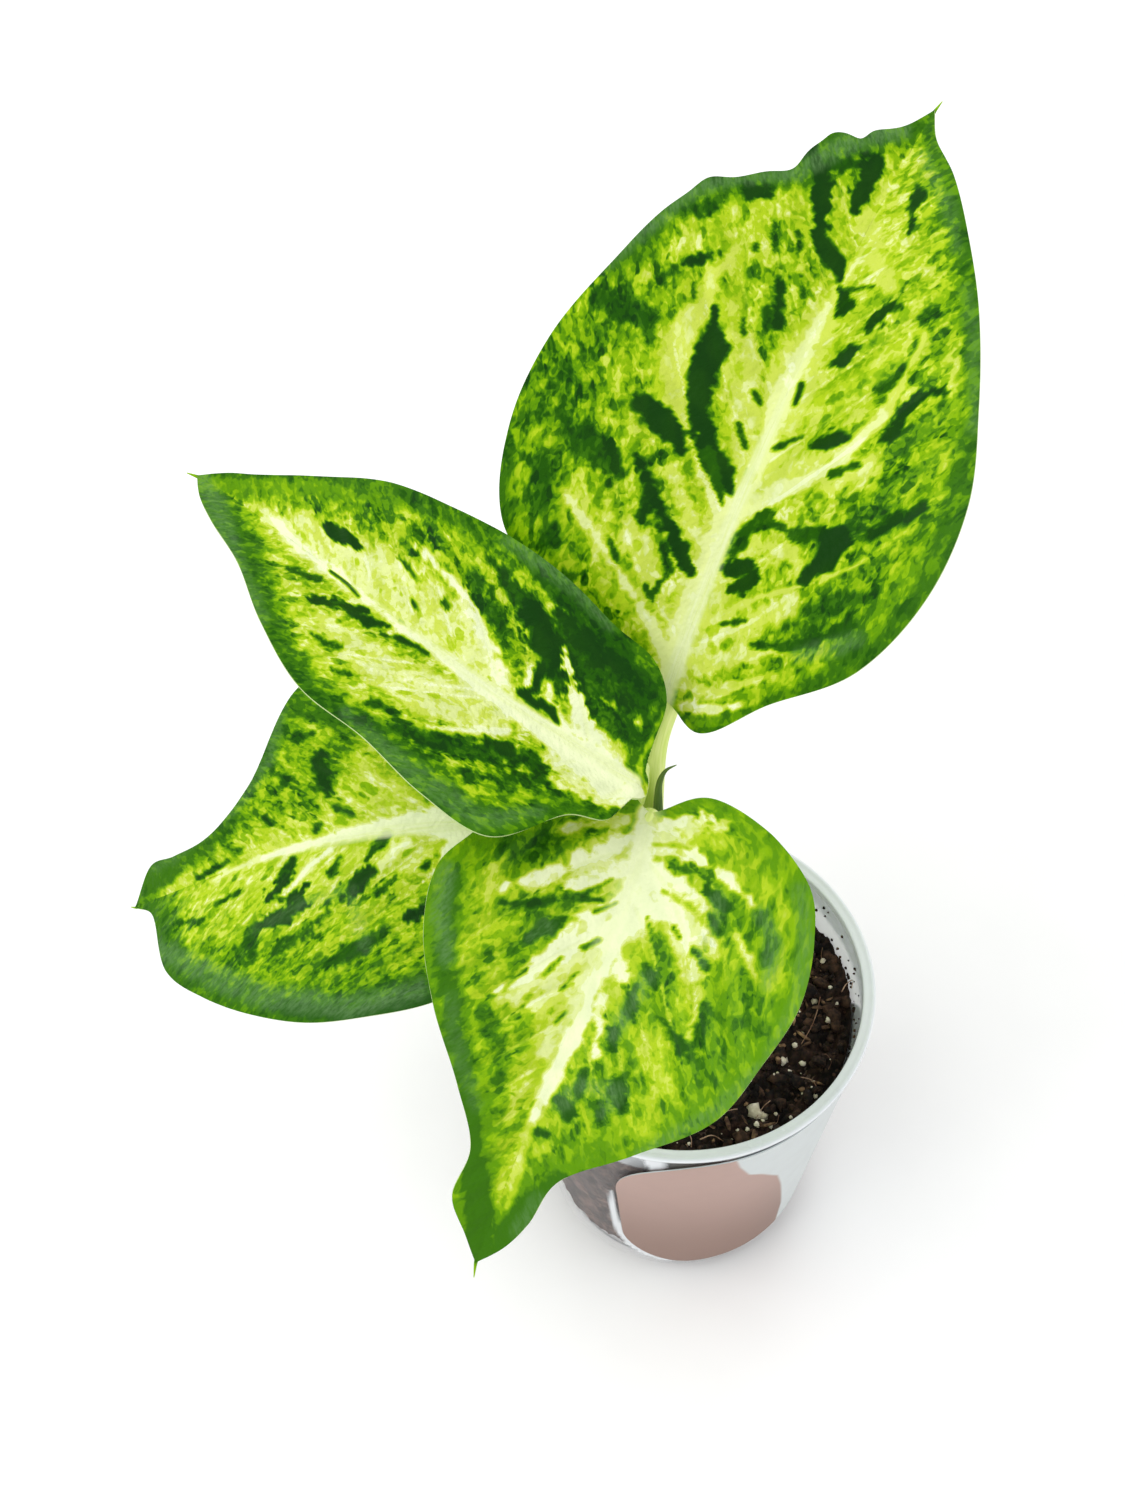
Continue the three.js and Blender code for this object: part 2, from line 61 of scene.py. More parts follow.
@dataclass(frozen=True)
class StudioCamera:
    """The camera, and where points of the plant fall in its picture.

    Attributes:
        width: Picture width in pixels.
        height: Picture height in pixels.
        lens: Focal length in millimetres on the sensor.
        sensor: Length of the sensor's long side.
        elevation: Degrees that the camera stands above the level.
        roll: Degrees that the camera is tipped about its own axis.
        distance: Millimetres from the camera to the point that it looks at.
        target: The point that it looks at.
    """

    width: int = 1125
    height: int = 1500
    lens: float = 54.0
    sensor: float = 36.0
    elevation: float = 54.5
    roll: float = -2.1
    distance: float = 398.5
    target: tuple = (-17.2, 58.4, 41.6)

    def axes(self) -> np.ndarray:
        """Works out which way the camera faces.

        Returns:
            Its right, up and backward directions as rows.
        """
        rise = math.radians(self.elevation)
        tip = math.radians(self.roll)
        level = np.array([1.0, 0.0, 0.0])
        upright = np.array([0.0, math.sin(rise), math.cos(rise)])
        right = math.cos(tip) * level + math.sin(tip) * upright
        up = -math.sin(tip) * level + math.cos(tip) * upright
        back = np.array([0.0, -math.cos(rise), math.sin(rise)])
        return np.stack([right, up, back])

    def place(self) -> np.ndarray:
        """Returns the camera's place in millimetres."""
        return np.asarray(self.target) + self.distance * self.axes()[2]

    def focal_pixels(self) -> float:
        """Returns the focal length in picture pixels."""
        return self.lens / self.sensor * self.height

    def pixels(self, points: np.ndarray) -> np.ndarray:
        """Finds where points fall in the picture.

        Args:
            points: An array of places in millimetres, one a row.

        Returns:
            An array of picture pixels, one a row.
        """
        seen = (points - self.place()) @ self.axes().T
        scale = self.focal_pixels() / -seen[..., 2]
        across = self.width / 2 + scale * seen[..., 0]
        down = self.height / 2 - scale * seen[..., 1]
        return np.stack([across, down], -1)

    def at_level(self, pixel: Sequence[float], level: float) -> np.ndarray:
        """Finds the place at a height that falls on a picture pixel.

        Args:
            pixel: Picture pixel, across and down.
            level: Height in millimetres.

        Returns:
            The place in millimetres.
        """
        local = np.array([pixel[0] - self.width / 2, self.height / 2 - pixel[1], -self.focal_pixels()])
        ray = self.axes().T @ local
        start = self.place()
        return start + ray * (level - start[2]) / ray[2]

    def build(self) -> None:
        """Makes the scene's camera."""
        data = bpy.data.cameras.new("StudioCamera")
        data.lens = self.lens
        data.sensor_width = self.sensor
        data.sensor_fit = "AUTO"
        data.clip_start = 0.01
        data.clip_end = 20
        camera = bpy.data.objects.new("StudioCamera", data)
        turn = Matrix([[float(v) for v in axis] for axis in self.axes()]).transposed().to_4x4()
        camera.matrix_world = Matrix.Translation(Vector(self.place() * MM)) @ turn
        bpy.context.scene.collection.objects.link(camera)
        bpy.context.scene.camera = camera


CAMERA = StudioCamera()


# ---- Small helpers ---------------------------------------------------------------


def srgb(red: float, green: float, blue: float) -> tuple[float, float, float, float]:
    """Makes a screen colour linear.

    Args:
        red: Red, from 0 to 255.
        green: Green, the same.
        blue: Blue, the same.

    Returns:
        The linear colour, with alpha 1.
    """

    def linear(part: float) -> float:
        """Returns one channel made linear."""
        share = part / 255
        return share / 12.92 if share <= 0.04045 else ((share + 0.055) / 1.055) ** 2.4

    return linear(red), linear(green), linear(blue), 1.0


def ease(values: np.ndarray, low: float, high: float) -> np.ndarray:
    """Returns 0 below low and 1 above high, with a smooth step between them."""
    share = np.clip((values - low) / (high - low), 0, 1)
    return share * share * (3 - 2 * share)


def smooth_course(points: Points, count: int) -> np.ndarray:
    """Runs a centripetal Catmull-Rom curve through points.

    Args:
        points: The points to pass through.
        count: How many even steps to take.

    Returns:
        An array of count + 1 points, evenly spaced along the curve.
    """
    given = np.asarray(points, float)
    chain = np.vstack([2 * given[0] - given[1], given, 2 * given[-1] - given[-2]])
    share = np.linspace(0, 1, 40, endpoint=False)[:, None]
    dense = []
    for i in range(1, len(chain) - 2):
        p = chain[i - 1 : i + 3]
        gap = np.maximum(np.linalg.norm(np.diff(p, axis=0), axis=1), 1e-6) ** 0.5
        leave = (p[1] - p[0]) / gap[0] - (p[2] - p[0]) / (gap[0] + gap[1]) + (p[2] - p[1]) / gap[1]
        reach = (p[2] - p[1]) / gap[1] - (p[3] - p[1]) / (gap[1] + gap[2]) + (p[3] - p[2]) / gap[2]
        leave, reach = leave * gap[1], reach * gap[1]
        square = -3 * p[1] + 3 * p[2] - 2 * leave - reach
        cube = 2 * p[1] - 2 * p[2] + leave + reach
        dense.append(p[1] + leave * share + square * share**2 + cube * share**3)
    line = np.vstack([*dense, given[-1:]])
    run = np.concatenate([[0], np.cumsum(np.linalg.norm(np.diff(line, axis=0), axis=1))])
    wanted = np.linspace(0, run[-1], count + 1)
    return np.stack([np.interp(wanted, run, line[:, k]) for k in range(line.shape[1])], 1)


def stroke_gap(places: np.ndarray, stroke: Points) -> np.ndarray:
    """Measures how far places lie outside a stroke of changing width.

    Args:
        places: An array of flat places, one a row.
        stroke: The stroke's corners, each with its half width. A single corner is a spot.

    Returns:
        One distance for each place, below 0 inside the stroke.
    """
    corners = np.asarray(stroke, float)
    best = np.full(len(places), np.inf)
    for start, end in zip(corners[: max(len(corners) - 1, 1)], corners[min(1, len(corners) - 1) :]):
        run = end[:2] - start[:2]
        share = np.clip((places - start[:2]) @ run / max(float(run @ run), 1e-9), 0, 1)
        away = np.linalg.norm(places - start[:2] - share[:, None] * run, axis=1)
        best = np.minimum(best, away - start[2] - share * (end[2] - start[2]))
    return best


def outline_gap(places: np.ndarray, outline: np.ndarray) -> np.ndarray:
    """Returns how far places lie from a line through the outline's points."""
    return stroke_gap(places, np.column_stack([outline, np.zeros(len(outline))]))


def fractal_values(places: np.ndarray) -> np.ndarray:
    """Returns fractal noise of two octaves, about -1 to 1, at places given one a row."""
    return np.array([noise.fractal(Vector(place), 0.9, 2.1, 2) for place in places.tolist()])


def unit(vectors: np.ndarray) -> np.ndarray:
    """Returns vectors scaled to length 1."""
    return vectors / np.maximum(np.linalg.norm(vectors, axis=-1, keepdims=True), 1e-12)


class Batch:
    """Points, faces and point values gathered into one mesh object."""

    def __init__(self) -> None:
        """Starts with nothing in it."""
        self.points: list[np.ndarray] = []
        self.faces: list[list[int]] = []
        self.marks: list[int] = []
        self.values: list[dict[str, np.ndarray]] = []
        self.count = 0

    def add(
        self, points: np.ndarray, faces: Sequence[Sequence[int]], mark: int = 0, **values: np.ndarray
    ) -> None:
        """Adds a patch of surface.

        Args:
            points: Places in millimetres, one a row.
            faces: Faces as indices into points.
            mark: Which of the object's materials the faces take.
            **values: Point values by name: one number for all, or a number or vector a point.
        """
        self.points.append(points)
        self.faces.extend([[int(i) + self.count for i in face] for face in faces])
        self.marks.extend([mark] * len(faces))
        self.values.append(values)
        self.count += len(points)

    def column(self, name: str) -> np.ndarray:
        """Gathers one point value for the whole mesh.

        Args:
            name: The value's name.

        Returns:
            The value at each point, with 0 where a patch has none.
        """
        given = [np.asarray(values.get(name, 0.0), float) for values in self.values]
        tail = (3,) if max(part.ndim for part in given) > 1 else ()
        spread = [np.broadcast_to(part, (len(points), *tail)) for part, points in zip(given, self.points)]
        return np.concatenate(spread)

    def build(self, name: str, materials: Sequence[bpy.types.Material]) -> bpy.types.Object:
        """Makes the mesh object.

        Args:
            name: The object's name.
            materials: Its materials, in the order of the marks.

        Returns:
            The new object, linked to the scene.
        """
        mesh = bpy.data.meshes.new(name)
        mesh.from_pydata((np.vstack(self.points) * MM).tolist(), [], self.faces)
        mesh.validate()
        for material in materials:
            mesh.materials.append(material)
        mesh.polygons.foreach_set("material_index", self.marks)
        mesh.polygons.foreach_set("use_smooth", [True] * len(mesh.polygons))
        for label in sorted({label for values in self.values for label in values}):
            column = self.column(label)
            kind, field = ("FLOAT_VECTOR", "vector") if column.ndim > 1 else ("FLOAT", "value")
            layer = mesh.attributes.new(label, kind, "POINT")
            layer.data.foreach_set(field, column.astype(np.float32).ravel())
        mesh.update()
        piece = bpy.data.objects.new(name, mesh)
        bpy.context.scene.collection.objects.link(piece)
        return piece


def grid_faces(rows: int, columns: int, closed: bool = False, flip: bool = False) -> list[list[int]]:
    """Makes the quads of a grid of points.

    Args:
        rows: How many rows of points.
        columns: How many points in a row.
        closed: Whether each row closes on itself.
        flip: Whether the faces look the other way.

    Returns:
        The quads as indices into the points.
    """
    faces = []
    for i in range(rows - 1):
        for k in range(columns if closed else columns - 1):
            a, b = i * columns + k, i * columns + (k + 1) % columns
            quad = [a, b, b + columns, a + columns]
            faces.append(quad[::-1] if flip else quad)
    return faces


def stack_faces(rings: int, sides: int, flip: bool = False) -> list[list[int]]:
    """Returns the faces of a stack of closed rings that ends in two single points.

    Args:
        rings: How many rings of points there are.
        sides: How many points a ring has.
        flip: Whether the faces look the other way.

    Returns:
        The faces. The first ring's end point comes after all the rings, then the last one's.
    """
    faces = grid_faces(rings, sides, closed=True)
    first, last, base = rings * sides, rings * sides + 1, (rings - 1) * sides
    for k in range(sides):
        follow = (k + 1) % sides
        faces.append([first, follow, k])
        faces.append([last, base + k, base + follow])
    return [face[::-1] for face in faces] if flip else faces


def carried_frames(course: np.ndarray, upward: Sequence[float]) -> tuple[np.ndarray, np.ndarray]:
    """Carries a pair of cross directions along a course without spin.

    Args:
        course: Points of the course.
        upward: Roughly where the first cross direction points at the start.

    Returns:
        The upward direction and the sideways one, for each point.
    """
    along = unit(np.gradient(course, axis=0))
    ups = [np.asarray(upward, float)]
    for ahead in along:
        ups.append(unit(ups[-1] - ahead * (ups[-1] @ ahead)))
    up = np.array(ups[1:])
    return up, np.cross(along, up)


def tube(
    course: np.ndarray,
    radii: Sequence[float],
    sides: int,
    upward: Sequence[float] = (0, 0, 1),
    section: Optional[Callable[[np.ndarray, np.ndarray], np.ndarray]] = None,
) -> tuple[np.ndarray, list, np.ndarray, np.ndarray]:
    """Makes a closed tube.

    Args:
        course: Points of the centre line.
        radii: A radius for each point.
        sides: How many sides the tube has.
        upward: Where its upper side faces at the start.
        section: Gives a factor on the radius from the share along and the angle from the upper side.

    Returns:
        Points, faces, the share along for each point and the angle for each point.
    """
    up, side = carried_frames(course, upward)
    angle = np.linspace(0, 2 * np.pi, sides, endpoint=False)
    share = np.linspace(0, 1, len(course))
    shares, angles = np.meshgrid(share, angle, indexing="ij")
    factor = section(shares, angles) if section else np.ones_like(shares)
    reach = np.asarray(radii, float)[:, None] * factor
    points = (
        course[:, None, :]
        + (reach * np.cos(angles))[..., None] * up[:, None, :]
        + (reach * np.sin(angles))[..., None] * side[:, None, :]
    ).reshape(-1, 3)
    points = np.vstack([points, course[:1], course[-1:]])
    shares = np.concatenate([shares.ravel(), [0, 1]])
    angles = np.concatenate([angles.ravel(), [0, 0]])
    return points, stack_faces(len(course), sides), shares, angles


# ---- Shader helpers --------------------------------------------------------------


class Desk:
    """Lays nodes in one shader tree and links them."""

    def __init__(self, tree: bpy.types.NodeTree) -> None:
        """Keeps the tree to work in."""
        self.tree = tree

    def node(self, kind: str, **settings: object) -> bpy.types.Node:
        """Adds a node.

        Args:
            kind: The node's type.
            **settings: Its properties by name.

        Returns:
            The new node.
        """
        node = self.tree.nodes.new(kind)
        for name, value in settings.items():
            setattr(node, name, value)
        return node

    def feed(self, target: Socket, value: Value) -> None:
        """Links a socket into the target, or sets the target to a plain value.

        Args:
            target: The input to feed.
            value: What feeds it.
        """
        if isinstance(value, bpy.types.NodeSocket):
            self.tree.links.new(value, target)
        else:
            target.default_value = value

    def math(self, operation: str, first: Value, second: Value, third: Value = 0.0) -> Socket:
        """Adds a Math node.

        Args:
            operation: What it does.
            first: Its first value.
            second: Its second value.
            third: Its third value, where the operation has one.

        Returns:
            Its result.
        """
        node = self.node("ShaderNodeMath", operation=operation)
        for socket, value in zip(node.inputs, (first, second, third)):
            self.feed(socket, value)
        return node.outputs[0]

    def scaled(self, vector: Value, factors: tuple[float, float, float]) -> Socket:
        """Scales a vector.

        Args:
            vector: The vector.
            factors: What each part is multiplied by.

        Returns:
            The scaled vector.
        """
        node = self.node("ShaderNodeVectorMath", operation="MULTIPLY")
        self.feed(node.inputs[0], vector)
        self.feed(node.inputs[1], factors)
        return node.outputs[0]

    def remap(
        self, value: Value, low: float, high: float, to_low: float = 0.0, to_high: float = 1.0
    ) -> Socket:
        """Carries a value smoothly from one span to another.

        Args:
            value: The value.
            low: Start of the span it comes from.
            high: End of that span.
            to_low: Start of the span it goes to.
            to_high: End of that span.

        Returns:
            The carried value.
        """
        node = self.node("ShaderNodeMapRange", interpolation_type="SMOOTHSTEP")
        for socket, given in zip(node.inputs, (value, low, high, to_low, to_high)):
            self.feed(socket, given)
        return node.outputs[0]

    def noise(
        self, vector: Value, scale: float, detail: float, roughness: float = 0.5, twist: float = 0.0
    ) -> Socket:
        """Adds a noise texture.

        Args:
            vector: Where it is read.
            scale: How fine it is.
            detail: How many octaves it has.
            roughness: How strong the finer octaves are.
            twist: How far it is distorted.

        Returns:
            The noise, from 0 to 1.
        """
        node = self.node("ShaderNodeTexNoise", noise_dimensions="3D")
        self.feed(node.inputs["Vector"], vector)
        self.feed(node.inputs["Scale"], scale)
        self.feed(node.inputs["Detail"], detail)
        self.feed(node.inputs["Roughness"], roughness)
        self.feed(node.inputs["Distortion"], twist)
        return node.outputs[0]

    def cells(self, vector: Value, scale: float, feature: str = "F1") -> Socket:
        """Adds a Voronoi texture.

        Args:
            vector: Where it is read.
            scale: How fine it is.
            feature: What is measured in the cells.

        Returns:
            The distance that it gives.
        """
        node = self.node("ShaderNodeTexVoronoi", feature=feature)
        self.feed(node.inputs["Vector"], vector)
        self.feed(node.inputs["Scale"], scale)
        return node.outputs["Distance"]

    def mix(self, factor: Value, first: Value, second: Value) -> Socket:
        """Mixes two colours.

        Args:
            factor: Share of the second.
            first: The first colour.
            second: The second colour.

        Returns:
            The mixed colour.
        """
        node = self.node("ShaderNodeMix", data_type="RGBA")
        self.feed(node.inputs[0], factor)
        self.feed(node.inputs[6], first)
        self.feed(node.inputs[7], second)
        return node.outputs[2]

    def ramp(self, value: Value, stops: Sequence[tuple[float, tuple]], hold: float = 0.0) -> Socket:
        """Reads a colour from a ramp.

        Args:
            value: Where to read, from 0 to 1.
            stops: Places and colours in order.
            hold: How far each colour is held on both sides of its place.

        Returns:
            The colour.
        """
        node = self.node("ShaderNodeValToRGB")
        self.feed(node.inputs[0], value)
        marks = []
        for place, colour in stops:
            marks += [(place - hold, colour), (place + hold, colour)] if hold else [(place, colour)]
        elements = node.color_ramp.elements
        while len(elements) < len(marks):
            elements.new(0.5)
        for element, (place, colour) in zip(elements, marks):
            element.position = min(max(place, 0), 1)
            element.color = colour
        return node.outputs[0]

    def attribute(self, name: str, output: str = "Fac") -> Socket:
        """Returns a value that the mesh carries."""
        return self.node("ShaderNodeAttribute", attribute_name=name).outputs[output]

    def position(self) -> Socket:
        """Returns the place on the surface, in metres."""
        return self.node("ShaderNodeNewGeometry").outputs["Position"]

    def bump(self, height: Value, strength: float, distance: float) -> Socket:
        """Bumps the surface.

        Args:
            height: How high it stands, from 0 to 1.
            strength: How strongly it shows.
            distance: Height in millimetres of a full step.

        Returns:
            The bumped normal.
        """
        node = self.node("ShaderNodeBump")
        self.feed(node.inputs["Strength"], strength)
        self.feed(node.inputs["Distance"], distance * MM)
        self.feed(node.inputs["Height"], height)
        return node.outputs[0]


class EffectGroup:
    """A shader effect built once and placed in each material that uses it."""

    def __init__(self, name: str, inputs: dict[str, tuple], outputs: dict[str, str]) -> None:
        """Makes the group's sockets.

        Args:
            name: The group's name.
            inputs: For each input its kind and its usual value.
            outputs: For each output its kind.
        """
        self.tree = bpy.data.node_groups.new(name, "ShaderNodeTree")
        for label, (kind, usual) in inputs.items():
            socket = self.tree.interface.new_socket(label, in_out="INPUT", socket_type=f"NodeSocket{kind}")
            socket.default_value = usual
        for label, kind in outputs.items():
            self.tree.interface.new_socket(label, in_out="OUTPUT", socket_type=f"NodeSocket{kind}")
        self.desk = Desk(self.tree)
        self.given = self.desk.node("NodeGroupInput").outputs
        self.result = self.desk.node("NodeGroupOutput").inputs

    def use(self, desk: Desk, **values: Value) -> bpy.types.bpy_prop_collection:
        """Places the group in a material.

        Args:
            desk: The material's desk.
            **values: What goes into the inputs, with _ for a space in a name.

        Returns:
            The group node's outputs.
        """
        node = desk.node("ShaderNodeGroup", node_tree=self.tree)
        for label, value in values.items():
            desk.feed(node.inputs[label.replace("_", " ")], value)
        return node.outputs


def new_material(name: str) -> tuple[bpy.types.Material, Desk, bpy.types.Node]:
    """Starts a material.

    Args:
        name: Its name.

    Returns:
        The material, its desk and its Principled shader.
    """
    material = bpy.data.materials.new(name)
    material.use_nodes = True
    shader = material.node_tree.nodes["Principled BSDF"]
    return material, Desk(material.node_tree), shader


def tissue_group() -> EffectGroup:
    """Makes the effect of fine fibres and pores in living stalks.

    Returns:
        The shared effect.
    """
    group = EffectGroup(
        "TissueFibres",
        {"Place": ("Vector", (0, 0, 0)), "Pale": ("Color", (1, 1, 1, 1)), "Green": ("Color", (0, 1, 0, 1))},
        {"Color": "Color", "Height": "Float"},
    )
    desk, given = group.desk, group.given
    fibres = desk.noise(desk.scaled(given["Place"], (1.0, 0.06, 1.0)), 1.6, 3, 0.6)
    clouds = desk.noise(desk.scaled(given["Place"], (0.4, 0.16, 0.4)), 0.9, 2)
    pores = desk.noise(desk.scaled(given["Place"], (1.0, 0.5, 1.0)), 5.0, 1)
    mixed = desk.math("ADD", desk.math("MULTIPLY", fibres, 0.6), desk.math("MULTIPLY", clouds, 0.6))
    colour = desk.mix(desk.remap(mixed, 0.42, 0.8), given["Green"], given["Pale"])
    desk.feed(group.result["Color"], colour)
    desk.feed(group.result["Height"], desk.math("ADD", fibres, desk.math("MULTIPLY", pores, 0.25)))
    return group


def crumb_group() -> EffectGroup:
    """Makes the effect of small crumbs, grains and pits.

    Returns:
        The shared effect.
    """
    group = EffectGroup(
        "CrumbGrain",
        {"Scale": ("Float", 1.0), "Dark": ("Color", (0, 0, 0, 1)), "Light": ("Color", (1, 1, 1, 1))},
        {"Color": "Color", "Height": "Float"},
    )
    desk, given = group.desk, group.given
    sized = desk.node("ShaderNodeVectorMath", operation="SCALE")
    desk.feed(sized.inputs[0], desk.position())
    desk.feed(sized.inputs["Scale"], given["Scale"])
    clods = desk.noise(sized.outputs[0], 420, 4, 0.62)
    grit = desk.noise(sized.outputs[0], 1700, 3, 0.6)
    cells = desk.cells(sized.outputs[0], 900)
    mixed = desk.math("ADD", desk.math("MULTIPLY", clods, 0.7), desk.math("MULTIPLY", grit, 0.5))
    # The noise that raises the bumps also pales the colour: hollows darker and tops lighter, painted shade
    # over the crumbs' own mottling.
    colour = desk.mix(desk.remap(mixed, 0.48, 0.84), given["Dark"], given["Light"])
    desk.feed(group.result["Color"], colour)
    height = desk.math("ADD", clods, desk.math("MULTIPLY", grit, 0.45))
    desk.feed(group.result["Height"], desk.math("ADD", height, desk.math("MULTIPLY", cells, 0.3)))
    return group


# ---- Leaf finish -----------------------------------------------------------------


class Tone(Enum):
    """How pale a part of a leaf is, from the darkest green to cream."""

    DEEP = 0.03
    DARK = 0.17
    GREEN = 0.30
    LEAFY = 0.42
    LIME = 0.55
    YELLOW = 0.70
    PALE = 0.84
    CREAM = 0.94
    MILK = 1.08


DEEP, DARK, GREEN, LEAFY, LIME, YELLOW, PALE, CREAM, MILK = Tone


@dataclass(frozen=True)
class Patch:
    """One brush mark on a leaf, placed by pixels of the photograph.

    Attributes:
        tone: The tone that it brings.
        soft: Over how many pixels its edge fades.
        calm: How far it stills the mottling, from 0 to 1.
        path: The pixels that it runs through, each with half its width there.
    """

    tone: Tone
    soft: float
    calm: float
    path: tuple


def brushed(*rows: tuple) -> tuple[Patch, ...]:
    """Returns brush marks from rows of tone, softness, calm and then the corners of the path."""
    return tuple(Patch(tone, soft, calm, tuple(path)) for tone, soft, calm, *path in rows)


# What each point of a blade carries into its material, and the usual value.
# One of these values is the strength of the painted sheen on curled margins.
LEAF_VALUES = {
    "Paleness": 0.5, "Mottle": 1.0, "Vein_Gap": 1.0, "Rib": 0.0, "Bloom": 0.0, "Edge": 0.0, "Underside": 0.0,
}


@dataclass(frozen=True)
class LeafFinish:
    """The colours of the leaves, dark to pale, and how they mottle.

    Attributes:
        deep: Darkest blotches.
        dark: Dark green.
        green: Plain green of the margins.
        leafy: Fresh green.
        lime: Lime flecks.
        yellow: Yellow-lime flecks.
        pale: Pale zones.
        cream: Cream zones.
        milk: The whitest zones.
        rib: The midrib.
        sheen: The grey-green painted sheen on curled margins, standing in for the light they reflect.
        under: The veil over the underside.
        edge: The thin pale line along the margin.
        roughness: Roughness of the waxy skin.
    """

    deep: tuple = srgb(16, 58, 8)
    dark: tuple = srgb(30, 80, 4)
    green: tuple = srgb(54, 106, 8)
    leafy: tuple = srgb(90, 142, 4)
    lime: tuple = srgb(128, 172, 6)
    yellow: tuple = srgb(168, 196, 30)
    pale: tuple = srgb(194, 210, 80)
    cream: tuple = srgb(216, 226, 148)
    milk: tuple = srgb(230, 237, 192)
    rib: tuple = srgb(220, 228, 180)
    bloom: tuple = srgb(92, 134, 74)
    under: tuple = srgb(150, 182, 112)
    edge: tuple = srgb(206, 222, 160)
    roughness: float = 0.42

    def pattern(self, desk: Desk, given: bpy.types.bpy_prop_collection) -> tuple[Socket, Socket]:
        """Lays the mottling and the side veins.

        Args:
            desk: The group's desk.
            given: The group's inputs.

        Returns:
            How pale the skin is, and how plainly a side vein shows.
        """
        place, paleness = given["Place"], given["Paleness"]
        blots = desk.noise(desk.scaled(place, (1.0, 0.7, 1.0)), 0.32, 1)
        broad = desk.noise(desk.scaled(place, (1.0, 0.55, 1.0)), 0.56, 1.5, 0.45, 0.35)
        flecks = desk.noise(desk.scaled(place, (1.0, 0.6, 1.0)), 0.95, 1.5, 0.45, 0.5)
        motes = desk.noise(desk.scaled(place, (1.0, 0.7, 1.0)), 1.9, 1)
        sway = desk.math("MULTIPLY", desk.math("SUBTRACT", blots, 0.5), 0.7)
        sway = desk.math("ADD", desk.remap(broad, 0.43, 0.57, -0.13, 0.13), sway)
        sway = desk.math("ADD", desk.remap(flecks, 0.44, 0.56, -0.12, 0.12), sway)
        sway = desk.math("MULTIPLY_ADD", desk.math("SUBTRACT", motes, 0.5), 0.3, sway)
        spots = desk.cells(desk.scaled(place, (1.0, 0.42, 1.0)), 0.42)
        size = desk.math("SUBTRACT", desk.noise(place, 0.25, 0), 0.5)
        spots = desk.math("SUBTRACT", spots, desk.math("MULTIPLY_ADD", size, 0.9, 0.02))
        spots = desk.math("MULTIPLY_ADD", desk.math("SUBTRACT", flecks, 0.5), 0.5, spots)
        calm = desk.remap(paleness, 0.55, 0.95, 1.0, 0.36)
        calm = desk.math("MULTIPLY", calm, desk.remap(paleness, 0.05, 0.3, 0.55, 1.0))
        sway = desk.math("MULTIPLY", sway, calm)
        sway = desk.math("SUBTRACT", sway, desk.remap(spots, 0.10, 0.22, 0.3, 0.0))
        level = desk.math("MULTIPLY_ADD", sway, given["Mottle"], paleness)
        vein = desk.remap(given["Vein Gap"], 0.06, 0.42, 1.0, 0.0)
        vein = desk.math("MULTIPLY", vein, desk.remap(level, 0.32, 0.6))
        return desk.math("MULTIPLY_ADD", vein, 0.09, level), vein

    def colour(
        self, desk: Desk, given: bpy.types.bpy_prop_collection, level: Socket, vein: Socket, bloom: Socket
    ) -> Socket:
        """Turns the pattern into colour.

        Args:
            desk: The group's desk.
            given: The group's inputs.
            level: How pale the skin is.
            vein: How plainly a side vein shows.
            sheen: Strength of the grey-green painted sheen.

        Returns:
            The skin's colour.
        """
        place = given["Place"]
        stops = [
            (0.04, self.deep), (0.17, self.dark), (0.30, self.green), (0.42, self.leafy),
            (0.55, self.lime), (0.70, self.yellow), (0.82, self.pale), (0.92, self.cream),
            (0.99, self.milk),
        ]
        colour = desk.ramp(level, stops, hold=0.024)
        wash = desk.noise(desk.scaled(place, (0.3, 0.14, 1.0)), 1.0, 2)
        colour = desk.mix(desk.remap(wash, 0.35, 0.75, 0.0, 0.14), colour, self.green)
        colour = desk.mix(desk.math("MULTIPLY", vein, 0.16), colour, self.pale)
        # Painted sheen: grey-green laid over the skin where curled margins would reflect the light.
        colour = desk.mix(bloom, colour, self.bloom)
        rib_lines = desk.noise(desk.scaled(place, (0.2, 0.0, 6.0)), 1.0, 2)
        rib_colour = desk.mix(desk.remap(rib_lines, 0.35, 0.68, 0.0, 0.35), self.rib, self.pale)
        colour = desk.mix(given["Rib"], colour, rib_colour)
        colour = desk.mix(given["Edge"], colour, self.edge)
        return desk.mix(given["Underside"], colour, desk.mix(0.62, colour, self.under))

    def group(self) -> EffectGroup:
        """Makes the variegation effect that all the leaves share.

        Returns:
            The shared effect.
        """
        group = EffectGroup(
            "Variegation",
            {
                "Place": ("Vector", (0, 0, 0)),
                **{name.replace("_", " "): ("Float", usual) for name, usual in LEAF_VALUES.items()},
            },
            {"Color": "Color", "Height": "Float", "Roughness": "Float", "Gloss": "Float"},
        )
        desk, given, result = group.desk, group.given, group.result
        place = given["Place"]
        level, vein = self.pattern(desk, given)
        wrinkle = desk.noise(desk.scaled(place, (1.0, 0.3, 1.0)), 2.2, 2, 0.6)
